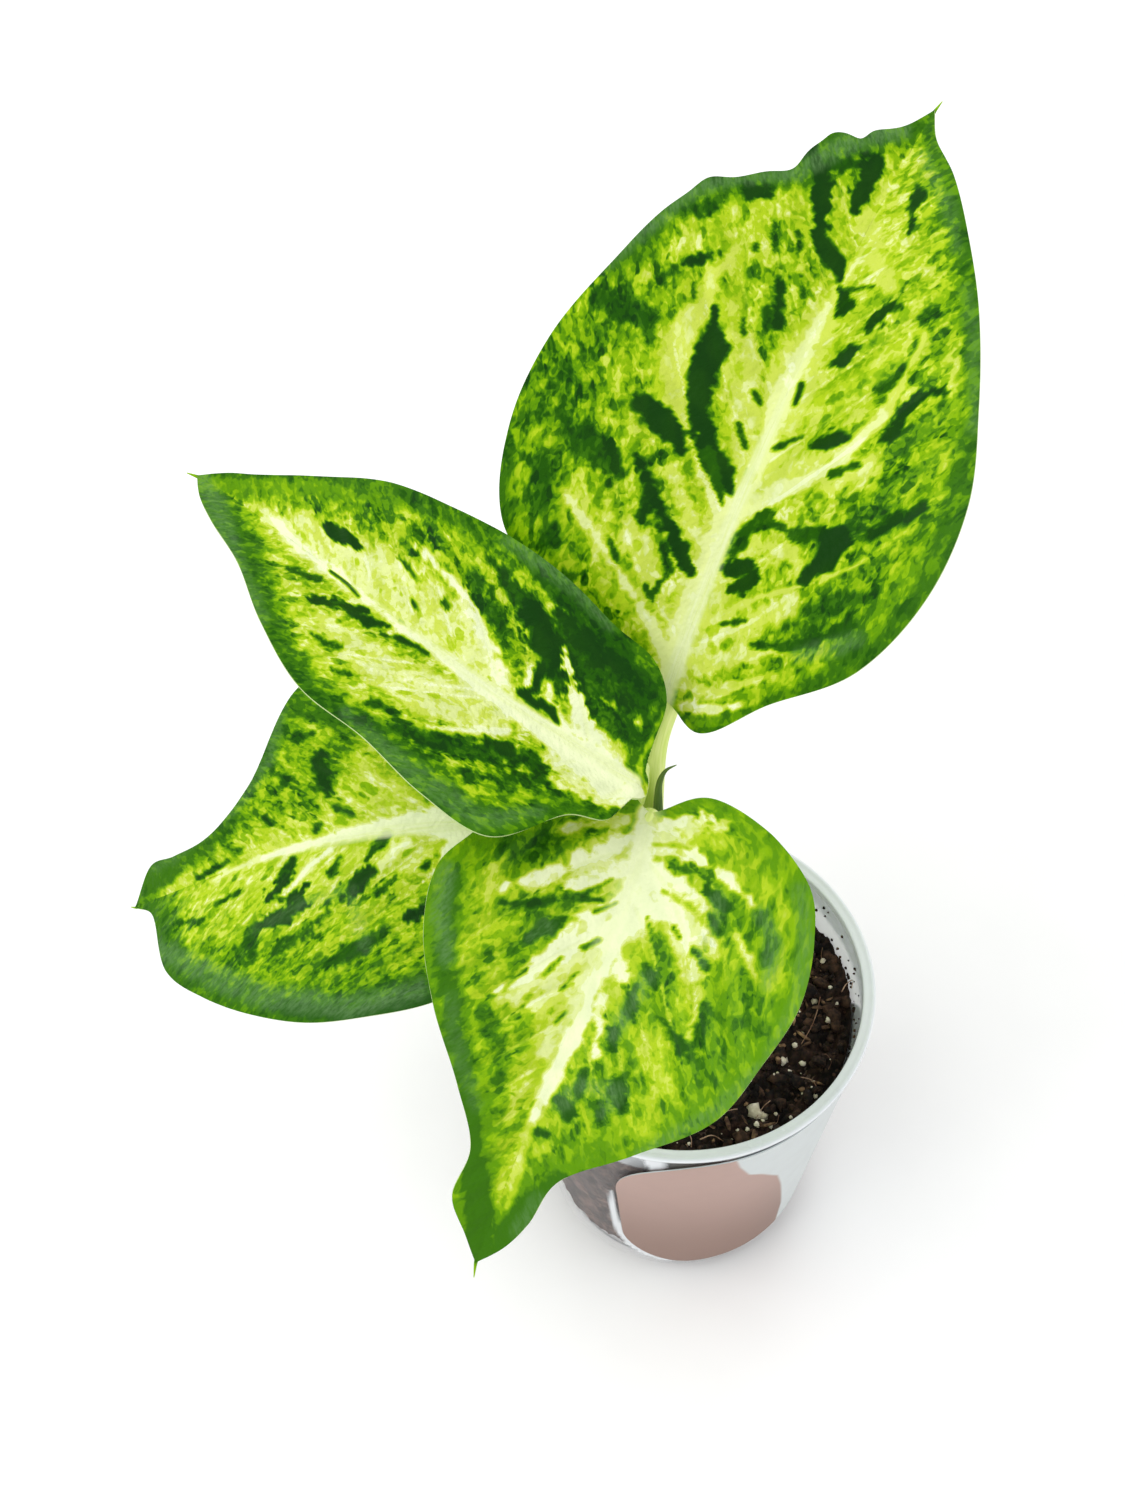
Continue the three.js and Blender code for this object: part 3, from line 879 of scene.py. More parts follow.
        # Strength of the painted sheen, broken up by the wrinkles.
        bloom = desk.math("MULTIPLY", given["Bloom"], desk.remap(wrinkle, 0.3, 0.7, 0.35, 1.1))
        desk.feed(result["Color"], self.colour(desk, given, level, vein, bloom))
        skin = desk.noise(desk.scaled(place, (1.0, 0.7, 1.0)), 1.35, 3, 0.55)
        quilt = desk.cells(desk.scaled(place, (0.7, 1.0, 1.0)), 1.25, "SMOOTH_F1")
        height = desk.math("MULTIPLY_ADD", quilt, 0.9, skin)
        desk.feed(result["Height"], desk.math("MULTIPLY_ADD", vein, -0.35, height))
        rough = desk.remap(skin, 0.3, 0.7, self.roughness - 0.06, self.roughness + 0.08)
        desk.feed(result["Roughness"], desk.math("MULTIPLY_ADD", given["Underside"], 0.22, rough))
        gloss = desk.math("MULTIPLY_ADD", bloom, 0.4, desk.remap(level, 0.05, 0.4, 0.06, 0.02))
        upper = desk.math("SUBTRACT", 1.0, given["Underside"])
        desk.feed(result["Gloss"], desk.math("MULTIPLY", gloss, upper))
        return group

    def material(self, name: str, group: EffectGroup) -> bpy.types.Material:
        """Makes one leaf's material.

        Args:
            name: The material's name.
            group: The shared variegation effect.

        Returns:
            The material.
        """
        material, desk, shader = new_material(name)
        carried = {value: desk.attribute(value.lower()) for value in LEAF_VALUES}
        effect = group.use(desk, Place=desk.attribute("vein_place", "Vector"), **carried)
        desk.feed(shader.inputs["Base Color"], effect["Color"])
        desk.feed(shader.inputs["Roughness"], effect["Roughness"])
        desk.feed(shader.inputs["Coat Weight"], effect["Gloss"])
        shader.inputs["Coat Roughness"].default_value = 0.34
        desk.feed(shader.inputs["Normal"], desk.bump(effect["Height"], 0.65, 0.2))
        shader.inputs["Specular IOR Level"].default_value = 0.03
        return material


@dataclass(frozen=True)
class StalkFinish:
    """The pale stalks, the cane and the shoot.

    Attributes:
        pale: Paler fibres.
        green: Greener fibres.
        seam: The bottom of a groove, seam or scar.
        roughness: Roughness of the skin.
    """

    pale: tuple = srgb(230, 240, 156)
    green: tuple = srgb(200, 222, 104)
    seam: tuple = srgb(112, 160, 24)
    roughness: float = 0.38

    def material(self, name: str, group: EffectGroup) -> bpy.types.Material:
        """Makes the material.

        Args:
            name: The material's name.
            group: The shared tissue effect.

        Returns:
            The material.
        """
        material, desk, shader = new_material(name)
        place, seam = desk.attribute("vein_place", "Vector"), desk.attribute("seam")
        effect = group.use(desk, Place=place, Pale=self.pale, Green=self.green)
        shade = desk.mix(seam, effect["Color"], self.green)
        shade = desk.mix(desk.math("MULTIPLY", seam, 0.5), shade, self.seam)
        desk.feed(shader.inputs["Base Color"], shade)
        shader.inputs["Roughness"].default_value = self.roughness
        shader.inputs["Specular IOR Level"].default_value = 0.14
        desk.feed(shader.inputs["Normal"], desk.bump(effect["Height"], 0.35, 0.12))
        return material


# ---- Leaves ----------------------------------------------------------------------


@dataclass(frozen=True)
class Midrib:
    """The course of a midrib, with its directions at even stops."""

    point: np.ndarray
    along: np.ndarray
    side: np.ndarray
    up: np.ndarray

    def read(self, name: str, share: np.ndarray) -> np.ndarray:
        """Reads one of the arrays between its points.

        Args:
            name: The array's name.
            share: Shares of the midrib's length.

        Returns:
            The array's value at each share.
        """
        table = getattr(self, name)
        stops = np.linspace(0, 1, len(table))
        return np.stack([np.interp(share, stops, table[:, k]) for k in range(3)], -1)


# Shares of the midrib's length where the half widths are given.
STATIONS = (0.08, 0.18, 0.3, 0.42, 0.54, 0.66, 0.77, 0.87, 0.94)
# Over how many millimetres a half of the blade curls by its angle.
CURL_REACH = 30


@dataclass(frozen=True)
class LeafShape:
    """One leaf's form, the same as the solid's, in millimetres and degrees.

    Attributes:
        base: Where the blade starts.
        length: Length of the midrib.
        heading: Where it heads, turned from +X.
        turn: How the heading changes over the length, evenly and by its square.
        rise: Four rise angles from base to tip.
        roll: Roll about the midrib.
        twist: Change of the roll over the length.
        fold: How far each half is lifted, left and right.
        curl: How far each half bends back over the curl reach.
        left_widths: Half widths on the left at the stations.
        right_widths: Half widths on the right at the stations.
        left_lobe: How far behind the base and aside the left lobe reaches.
        right_lobe: The same for the right lobe.
        stalk: Points of the stalk's course.
        fold_change: Change of the fold over the length.
        groove: Where the stalk's groove faces.
        neck: How far the blade runs down the stalk's front.
        ripples: Small waves of the margin: side, share of the outline, height and width.
    """

    base: tuple
    length: float
    heading: float
    turn: tuple
    rise: tuple
    roll: float
    twist: float
    fold: tuple
    curl: tuple
    left_widths: tuple
    right_widths: tuple
    left_lobe: tuple
    right_lobe: tuple
    stalk: tuple
    fold_change: float = 1.0
    groove: tuple = (0, -1, 0.4)
    neck: float = 0.0
    ripples: tuple = ()

    def midrib(self, steps: int = 60) -> Midrib:
        """Lays the midrib's course.

        Args:
            steps: How many steps it has.

        Returns:
            The course.
        """
        u = np.linspace(0, 1, steps + 1)
        v = 1 - u
        r0, r1, r2, r3 = self.rise
        rise = np.radians(r0 * v**3 + 3 * r1 * u * v * v + 3 * r2 * u * u * v + r3 * u**3)
        heading = np.radians(self.heading + self.turn[0] * u + self.turn[1] * u * u)
        run, climb = np.cos(rise), np.sin(rise)
        along = np.stack([np.cos(heading) * run, np.sin(heading) * run, climb], 1)
        level = np.stack([-np.sin(heading), np.cos(heading), np.zeros_like(heading)], 1)
        over = np.cross(along, level)
        tip = np.radians(self.roll + self.twist * u)[:, None]
        side = level * np.cos(tip) + over * np.sin(tip)
        up = np.cross(along, side)
        steps_along = 0.5 * (along[1:] + along[:-1]) * self.length / steps
        point = np.asarray(self.base) + np.vstack([np.zeros(3), np.cumsum(steps_along, axis=0)])
        return Midrib(point, along, side, up)

    def bend(self, rib: Midrib, x: np.ndarray, y: np.ndarray, lift: np.ndarray) -> np.ndarray:
        """Carries points of the flat leaf into space.

        Args:
            rib: The midrib's course.
            x: How far along the midrib, in millimetres.
            y: How far to its left.
            lift: Millimetres that a point stands above the smooth sheet.

        Returns:
            The places, one a row.
        """
        u = np.clip(x / self.length, 0, 1)
        behind = np.minimum(x, 0)[:, None]
        hang = 0.12 if self.neck else 0
        centre = rib.read("point", u) + behind * rib.along[0] - hang * behind**2 * rib.up[0]
        left = y >= 0
        fold = np.radians(np.where(left, *self.fold) + self.fold_change * (u - 0.5))
        curl = np.radians(np.where(left, *self.curl)) / CURL_REACH
        reach = np.abs(y)
        aside = (np.sin(fold + curl * reach) - np.sin(fold)) / curl
        above = (np.cos(fold) - np.cos(fold + curl * reach)) / curl
        place = centre + rib.read("side", u) * (np.sign(y) * aside)[:, None]
        return place + rib.read("up", u) * (above + lift)[:, None]

    def outline(self, sign: int, count: int) -> np.ndarray:
        """Draws one half of the flat outline.

        Args:
            sign: 1 for the left half and -1 for the right one.
            count: How many steps it has.

        Returns:
            Its points, from the base to the tip.
        """
        lobe = self.left_lobe if sign > 0 else self.right_lobe
        widths = self.left_widths if sign > 0 else self.right_widths
        points = [(-self.neck, 0.0), (-lobe[0], sign * lobe[1])]
        if self.neck:
            points[1:1] = [(-0.7 * self.neck, sign * 0.6 * self.neck), (0.0, sign * 1.25 * self.neck)]
        points += [(share * self.length, sign * width) for share, width in zip(STATIONS, widths)]
        points.append((self.length, 0.0))
        line = smooth_course(points, count)
        along = unit(np.gradient(line, axis=0))
        share = np.linspace(0, 1, count + 1)
        swell = np.zeros(count + 1)
        for side, place, height, width in self.ripples:
            if side == sign:
                swell += height * np.exp(-(((share - place) / width) ** 2))
        return line + sign * swell[:, None] * np.stack([-along[:, 1], along[:, 0]], 1)


@dataclass(frozen=True)
class LeafPaint:
    """Where one leaf is pale, dark or bloomed.

    Attributes:
        inner: Tone of the plain inner field.
        outer: Tone near the margin.
        band: Width in millimetres of the margin's plain band, left and right.
        patches: Brush marks, laid in order.
        sheen_marks: Grey-green painted sheen: strength of each mark and its stroke.
        seed: Which mottling the leaf has.
        mottle: How strongly it mottles.
        haze: The painted sheen that lies all over it.
        rib: How plainly the midrib shows.
        rib_width: How wide the plain midrib is, as a share of the usual width.
        lift: How much paler the mottled field is all over.
        grain: How fine the mottling is, along the margin and along the veins.
    """

    inner: Tone
    outer: Tone
    band: tuple
    patches: tuple
    sheen_marks: tuple = ()
    seed: float = 0.0
    mottle: float = 1.0
    haze: float = 0.0
    rib: float = 0.85
    rib_width: float = 1.0
    lift: float = 0.0
    grain: tuple = (1.0, 1.0)


@dataclass
class Leaf:
    """A leaf: blade, midrib, tip hair and stalk, grown as one piece.

    Attributes:
        node: The solid that it replaces.
        shape: Its form.
        paint: Its markings.
        hair: Pixels of the tip hair's end.
        rows: Rows of points along the blade, a multiple of the vein count.
        columns: Columns of points from the midrib to the margin.
        veins: How many side veins leave the midrib.
        lean: How far a side vein runs forward for each millimetre outward.
        thickness: Thickness of the blade.
        vein_relief: How far the blade rises between veins.
        rib_half: Half the midrib's width at the base.
        rib_radius: Radius of the rib below the blade, at the base and at the tip.
        stalk_radius: Radius of the stalk.
    """

    node: str
    shape: LeafShape
    paint: LeafPaint
    hair: tuple
    rows: int = 230
    columns: int = 52
    veins: int = 11
    lean: float = 1.0
    thickness: float = 0.42
    vein_relief: float = 0.3
    rib_half: float = 2.3
    rib_radius: tuple = (1.35, 0.35)
    stalk_radius: float = 1.85

    def sheet(self) -> dict[str, np.ndarray]:
        """Lays out the flat blade.

        Returns:
            Its grids by name.
        """
        shape, n, m = self.shape, self.rows, self.columns
        share = np.linspace(0, 1, n + 1)[:, None]
        across = np.linspace(-1, 1, 2 * m + 1)[None, :]
        t = np.abs(across) ** 1.15 + 0 * share
        sign = np.sign(across) * -1
        edges = {s: shape.outline(s, n) for s in (1, -1)}
        edge = np.where((sign >= 0)[..., None], edges[1][:, None, :], edges[-1][:, None, :])
        root = (shape.length + shape.neck) * share**1.55 - shape.neck
        middle = root + (edge[..., 0] - root) * 0.36
        x = (1 - t) ** 2 * root + 2 * t * (1 - t) * middle + t * t * edge[..., 0]
        y = 2 * t * (1 - t) * 0.58 * edge[..., 1] + t * t * edge[..., 1]
        out = np.abs(y)
        lean = self.lean * (0.3 + 0.7 * ease(x / shape.length, -0.1, 0.4))
        start = x - lean * out - 0.007 * out**2
        steep = np.sqrt(1 + lean**2)
        number = start / shape.length * self.veins
        vein_gap = np.abs(number - np.round(number)) * 0.7 * shape.length / self.veins
        rib_gap = np.where(x >= 0, np.abs(y), np.hypot(x, y))
        outline = np.vstack([edges[1], edges[-1][::-1]])
        flat = np.stack([x.ravel(), y.ravel()], 1)
        margin = outline_gap(flat, outline[::4]).reshape(x.shape)
        return {
            "x": x, "y": y, "t": t, "share": share + 0 * t,
            "along": start / steep, "inward": 1.25 * (out + lean * x) / steep,
            "number": number, "vein_gap": vein_gap, "rib_gap": rib_gap,
            "margin": margin, "left": (sign >= 0) + 0 * t,
        }

    def surfaces(self, flat: dict[str, np.ndarray]) -> tuple[np.ndarray, np.ndarray, np.ndarray]:
        """Bends the flat blade and gives it two faces.

        Args:
            flat: The grids of the flat blade.

        Returns:
            The middle sheet, the upper face and the under face, as grids of places.
        """
        shape = self.shape
        rib = shape.midrib()
        x, y, t, share = flat["x"], flat["y"], flat["t"], flat["share"]
        wave = -self.vein_relief * np.cos(2 * np.pi * flat["number"])
        wave *= np.sin(np.pi * share).clip(0) ** 0.7 * np.sin(np.pi * t).clip(0)
        middle = shape.bend(rib, x.ravel(), y.ravel(), wave.ravel()).reshape(*x.shape, 3)
        down = np.gradient(middle, axis=0)
        across = np.gradient(middle, axis=1)
        normal = np.cross(down, across)
        normal[0], normal[-1] = normal[2], normal[-3]
        normal[1], normal[-2] = normal[2], normal[-3]
        normal = unit(normal)
        u = np.clip(x / shape.length, 0, 1)
        ups = rib.read("up", u.ravel()).reshape(*x.shape, 3)
        normal *= np.sign((normal * ups).sum(-1, keepdims=True))
        half = self.rib_half * (1 - u) ** 1.3 + 0.3
        gap = flat["rib_gap"]
        slope = math.sin(math.radians(sum(shape.fold) / 2))
        flatten = slope * 0.5 * ((half - gap) + np.sqrt((half - gap) ** 2 + 0.6))
        channel = 0.03 * np.exp(-((gap / (0.55 * half)) ** 2)) * (1 - u)
        radius = self.rib_radius[0] + (self.rib_radius[1] - self.rib_radius[0]) * u
        keel = 1.75 * radius * np.exp(-((gap / (1.15 * radius)) ** 2)) * ease(1 - u, 0.0, 0.08)
        vein = np.exp(-((flat["vein_gap"] / 0.4) ** 2)) * ease(t, 0.0, 0.1) * (1 - ease(t, 0.7, 1.0))
        thin = 0.5 * self.thickness * (1 - 0.45 * ease(-flat["margin"], -1.2, 0.0))
        over = normal * (thin - 0.05 * vein)[..., None] + ups * (flatten - channel)[..., None]
        under = normal * (thin + 0.16 * vein)[..., None] + ups * keel[..., None]
        return middle, middle + over, middle - under

    def values(self, flat: dict[str, np.ndarray], middle: np.ndarray) -> dict[str, np.ndarray]:
        """Works out the blade's point values.

        Args:
            flat: The grids of the flat blade.
            middle: The middle sheet's places.

        Returns:
            One value a point for each name.
        """
        paint = self.paint
        seen = CAMERA.pixels(middle.reshape(-1, 3))
        margin, gap, t = flat["margin"].ravel(), flat["rib_gap"].ravel(), flat["t"].ravel()
        u = np.clip(flat["x"].ravel() / self.shape.length, 0, 1)
        left = flat["left"].ravel() > 0
        side = np.where(left, 1.0, -1.0) * (1 - np.exp(-gap / 2.5))
        fine, long = paint.grain
        along, inward = fine * flat["along"].ravel(), long * flat["inward"].ravel()
        place = np.stack([along, inward, paint.seed + 1.2 * side], 1)
        ragged = 7.0 * fractal_values(place * (0.42, 0.32, 1.0))
        ragged = ragged + 6.0 * fractal_values(place * (1.0, 0.7, 1.0))
        ragged = ragged * (0.4 + 0.6 * ease(gap, 0.5, 7))
        band = np.where(left, *paint.band)
        outside = 1 - ease(margin / band + 0.045 * ragged, 0.3, 1.1)
        level = paint.inner.value + (paint.outer.value - paint.inner.value) * outside
        level = level + 0.16 * np.exp(-gap / 4.5) * (1 - outside)
        mottle = paint.mottle * (1 - 0.6 * outside)
        for patch in paint.patches:
            tear = min(1.0, max(corner[2] for corner in patch.path) / 8)
            tear *= 0.6 if patch.calm > 0.78 else 1.0
            away = stroke_gap(seen, patch.path) + tear * ragged
            weight = 1 - ease(away, -patch.soft, patch.soft)
            level = level + (patch.tone.value - level) * weight
            mottle = mottle + (paint.mottle * (1 - patch.calm) - mottle) * weight
        level = level + paint.lift * ease(level, 0.3, 0.55)
        # Painted sheen where the margins curl away and catch the light.
        bloom = np.full_like(level, paint.haze)
        for strength, stroke in paint.sheen_marks:
            away = stroke_gap(seen, stroke) + 0.4 * ragged
            bloom = np.maximum(bloom, strength * (1 - ease(away, -6, 7)))
        half = paint.rib_width * (self.rib_half * (1 - u) ** 0.85 * 0.9 + 0.15)
        rib = paint.rib * (1 - ease(gap, 0.4 * half, 1.2 * half)) * (1 - ease(u, 0.35, 0.66))
        vein_gap = flat["vein_gap"].ravel() + 2.0 * (1 - ease(gap, 0.5, 2.5)) + 1.2 * ease(t, 0.45, 0.95)
        return {
            "vein_place": place, "paleness": level, "mottle": mottle,
            "vein_gap": vein_gap, "rib": rib, "bloom": bloom,
        }

    def add_blade(self, batch: Batch) -> None:
        """Adds the blade's two faces and its rim.

        Args:
            batch: The leaf's batch.
        """
        flat = self.sheet()
        middle, upper, lower = self.surfaces(flat)
        values = self.values(flat, middle)
        rows, columns = middle.shape[:2]
        inner = slice(columns, (rows - 1) * columns)

        def keep(grid: np.ndarray) -> np.ndarray:
            """Joins each collapsed end row of a grid into one point.

            Args:
                grid: A grid of places or values.

            Returns:
                The points of the rows between, then one point for each end.
            """
            flat_grid = grid.reshape(rows * columns, -1)
            centre = columns // 2
            ends = flat_grid[[centre, (rows - 1) * columns + centre]]
            kept = np.vstack([flat_grid[inner], ends])
            return kept[:, 0] if kept.shape[1] == 1 else kept

        count = (rows - 2) * columns + 2
        base, tip = count - 2, count - 1
        last = (rows - 3) * columns
        quads = grid_faces(rows - 2, columns)
        quads += [[base, k + 1, k] for k in range(columns - 1)]
        quads += [[tip, last + k, last + k + 1] for k in range(columns - 1)]
        top = keep(upper)
        bottom = keep(lower)
        carried = {name: keep(grid) for name, grid in values.items()}
        facing = np.cross(top[quads[0][1]] - top[quads[0][0]], top[quads[0][2]] - top[quads[0][0]])
        if facing @ (top[quads[0][0]] - bottom[quads[0][0]]) < 0:
            quads = [face[::-1] for face in quads]
        batch.add(top, quads, **carried, underside=0.0, edge=0.0)
        batch.add(bottom, [face[::-1] for face in quads], **carried, underside=1.0, edge=0.0)
        loop = [base] + [i * columns for i in range(rows - 2)] + [tip]
        loop += [i * columns + columns - 1 for i in reversed(range(rows - 2))]
        rim_top, rim_low = top[loop], bottom[loop]
        size = len(loop)
        faces = [[k, (k + 1) % size, (k + 1) % size + size, k + size] for k in range(size)]
        outward = np.cross(rim_top[6] - rim_top[5], rim_low[5] - rim_top[5])
        if outward @ (rim_top[5] - top[columns // 2 + 5 * columns]) < 0:
            faces = [face[::-1] for face in faces]
        rim = {name: np.concatenate([grid[loop], grid[loop]]) for name, grid in carried.items()}
        batch.add(np.vstack([rim_top, rim_low]), faces, **rim, underside=0.3, edge=0.85)

    def add_hair(self, batch: Batch) -> None:
        """Adds the fine hair that ends the leaf's tip.

        Args:
            batch: The leaf's batch.
        """
        rib = self.shape.midrib()
        tip = rib.point[-1]
        seen = CAMERA.pixels(tip[None])[0]
        scale = np.linalg.norm(CAMERA.place() - tip) / CAMERA.focal_pixels()
        right, up, _ = CAMERA.axes()
        reach = (self.hair[0] - seen[0]) * scale * right - (self.hair[1] - seen[1]) * scale * up
        back = rib.along[-1]
        stops = [tip - 1.6 * back, tip - 0.2 * back, tip + 0.55 * reach, tip + reach]
        course = smooth_course(stops, 12)
        points, faces, share, _ = tube(course, np.linspace(0.42, 0.07, len(course)), 8)
        batch.add(points, faces, paleness=0.32 + 0.35 * share, mottle=0.2, vein_gap=2.0)

    def add_stalk(self, batch: Batch) -> None:
        """Adds the stalk, which runs on under the blade and thins into the rib.

        Args:
            batch: The leaf's batch.
        """
        shape = self.shape
        rib = shape.midrib()
        ends = [rib.point[k] - rib.up[k] * drop for k, drop in ((0, 0.62), (3, 0.8), (7, 0.95))]
        course = smooth_course([*shape.stalk, *ends], 60)
        share = np.linspace(0, 1, len(course))
        full = self.stalk_radius
        radii = np.interp(share, [0, 0.12, 0.75, 0.88, 1.0], [0.9 * full, full, 0.96 * full, 1.55, 0.9])

        def section(along: np.ndarray, angle: np.ndarray) -> np.ndarray:
            """Gives the stalk its groove, deepest low down and closed at the blade.

            Args:
                along: Shares of the stalk's length.
                angle: Angles round it.

            Returns:
                What the radius is multiplied by.
            """
            away = np.minimum(angle, 2 * np.pi - angle)
            depth = 0.34 * (1 - ease(along, 0.55, 0.85))
            lips = 0.10 * np.exp(-(((away - 0.8) / 0.3) ** 2)) * (1 - ease(along, 0.55, 0.85))
            return 1 - depth * np.exp(-((away / 0.42) ** 2)) + lips

        points, faces, shares, angles = tube(course, radii, 40, shape.groove, section)
        run = np.linalg.norm(np.diff(course, axis=0), axis=1).sum()
        away = np.minimum(angles, 2 * np.pi - angles)
        place = np.stack([away * full * 2, shares * run, np.full(shares.size, self.paint.seed)], 1)
        seam = np.exp(-((away / 0.5) ** 2)) * (1 - ease(shares, 0.5, 0.8)) * 0.8
        batch.add(points, faces, mark=1, vein_place=place, seam=seam)

    def build(self, finish: bpy.types.Material, stalk_finish: bpy.types.Material) -> bpy.types.Object:
        """Builds the leaf.

        Args:
            finish: Material of the blade.
            stalk_finish: Material of the stalk.

        Returns:
            The leaf's object.
        """
        batch = Batch()
        self.add_blade(batch)
        self.add_hair(batch)
        self.add_stalk(batch)
        piece = batch.build(self.node + "_dressed", [finish, stalk_finish])
        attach(piece, "root")
        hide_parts(self.node)
        return piece


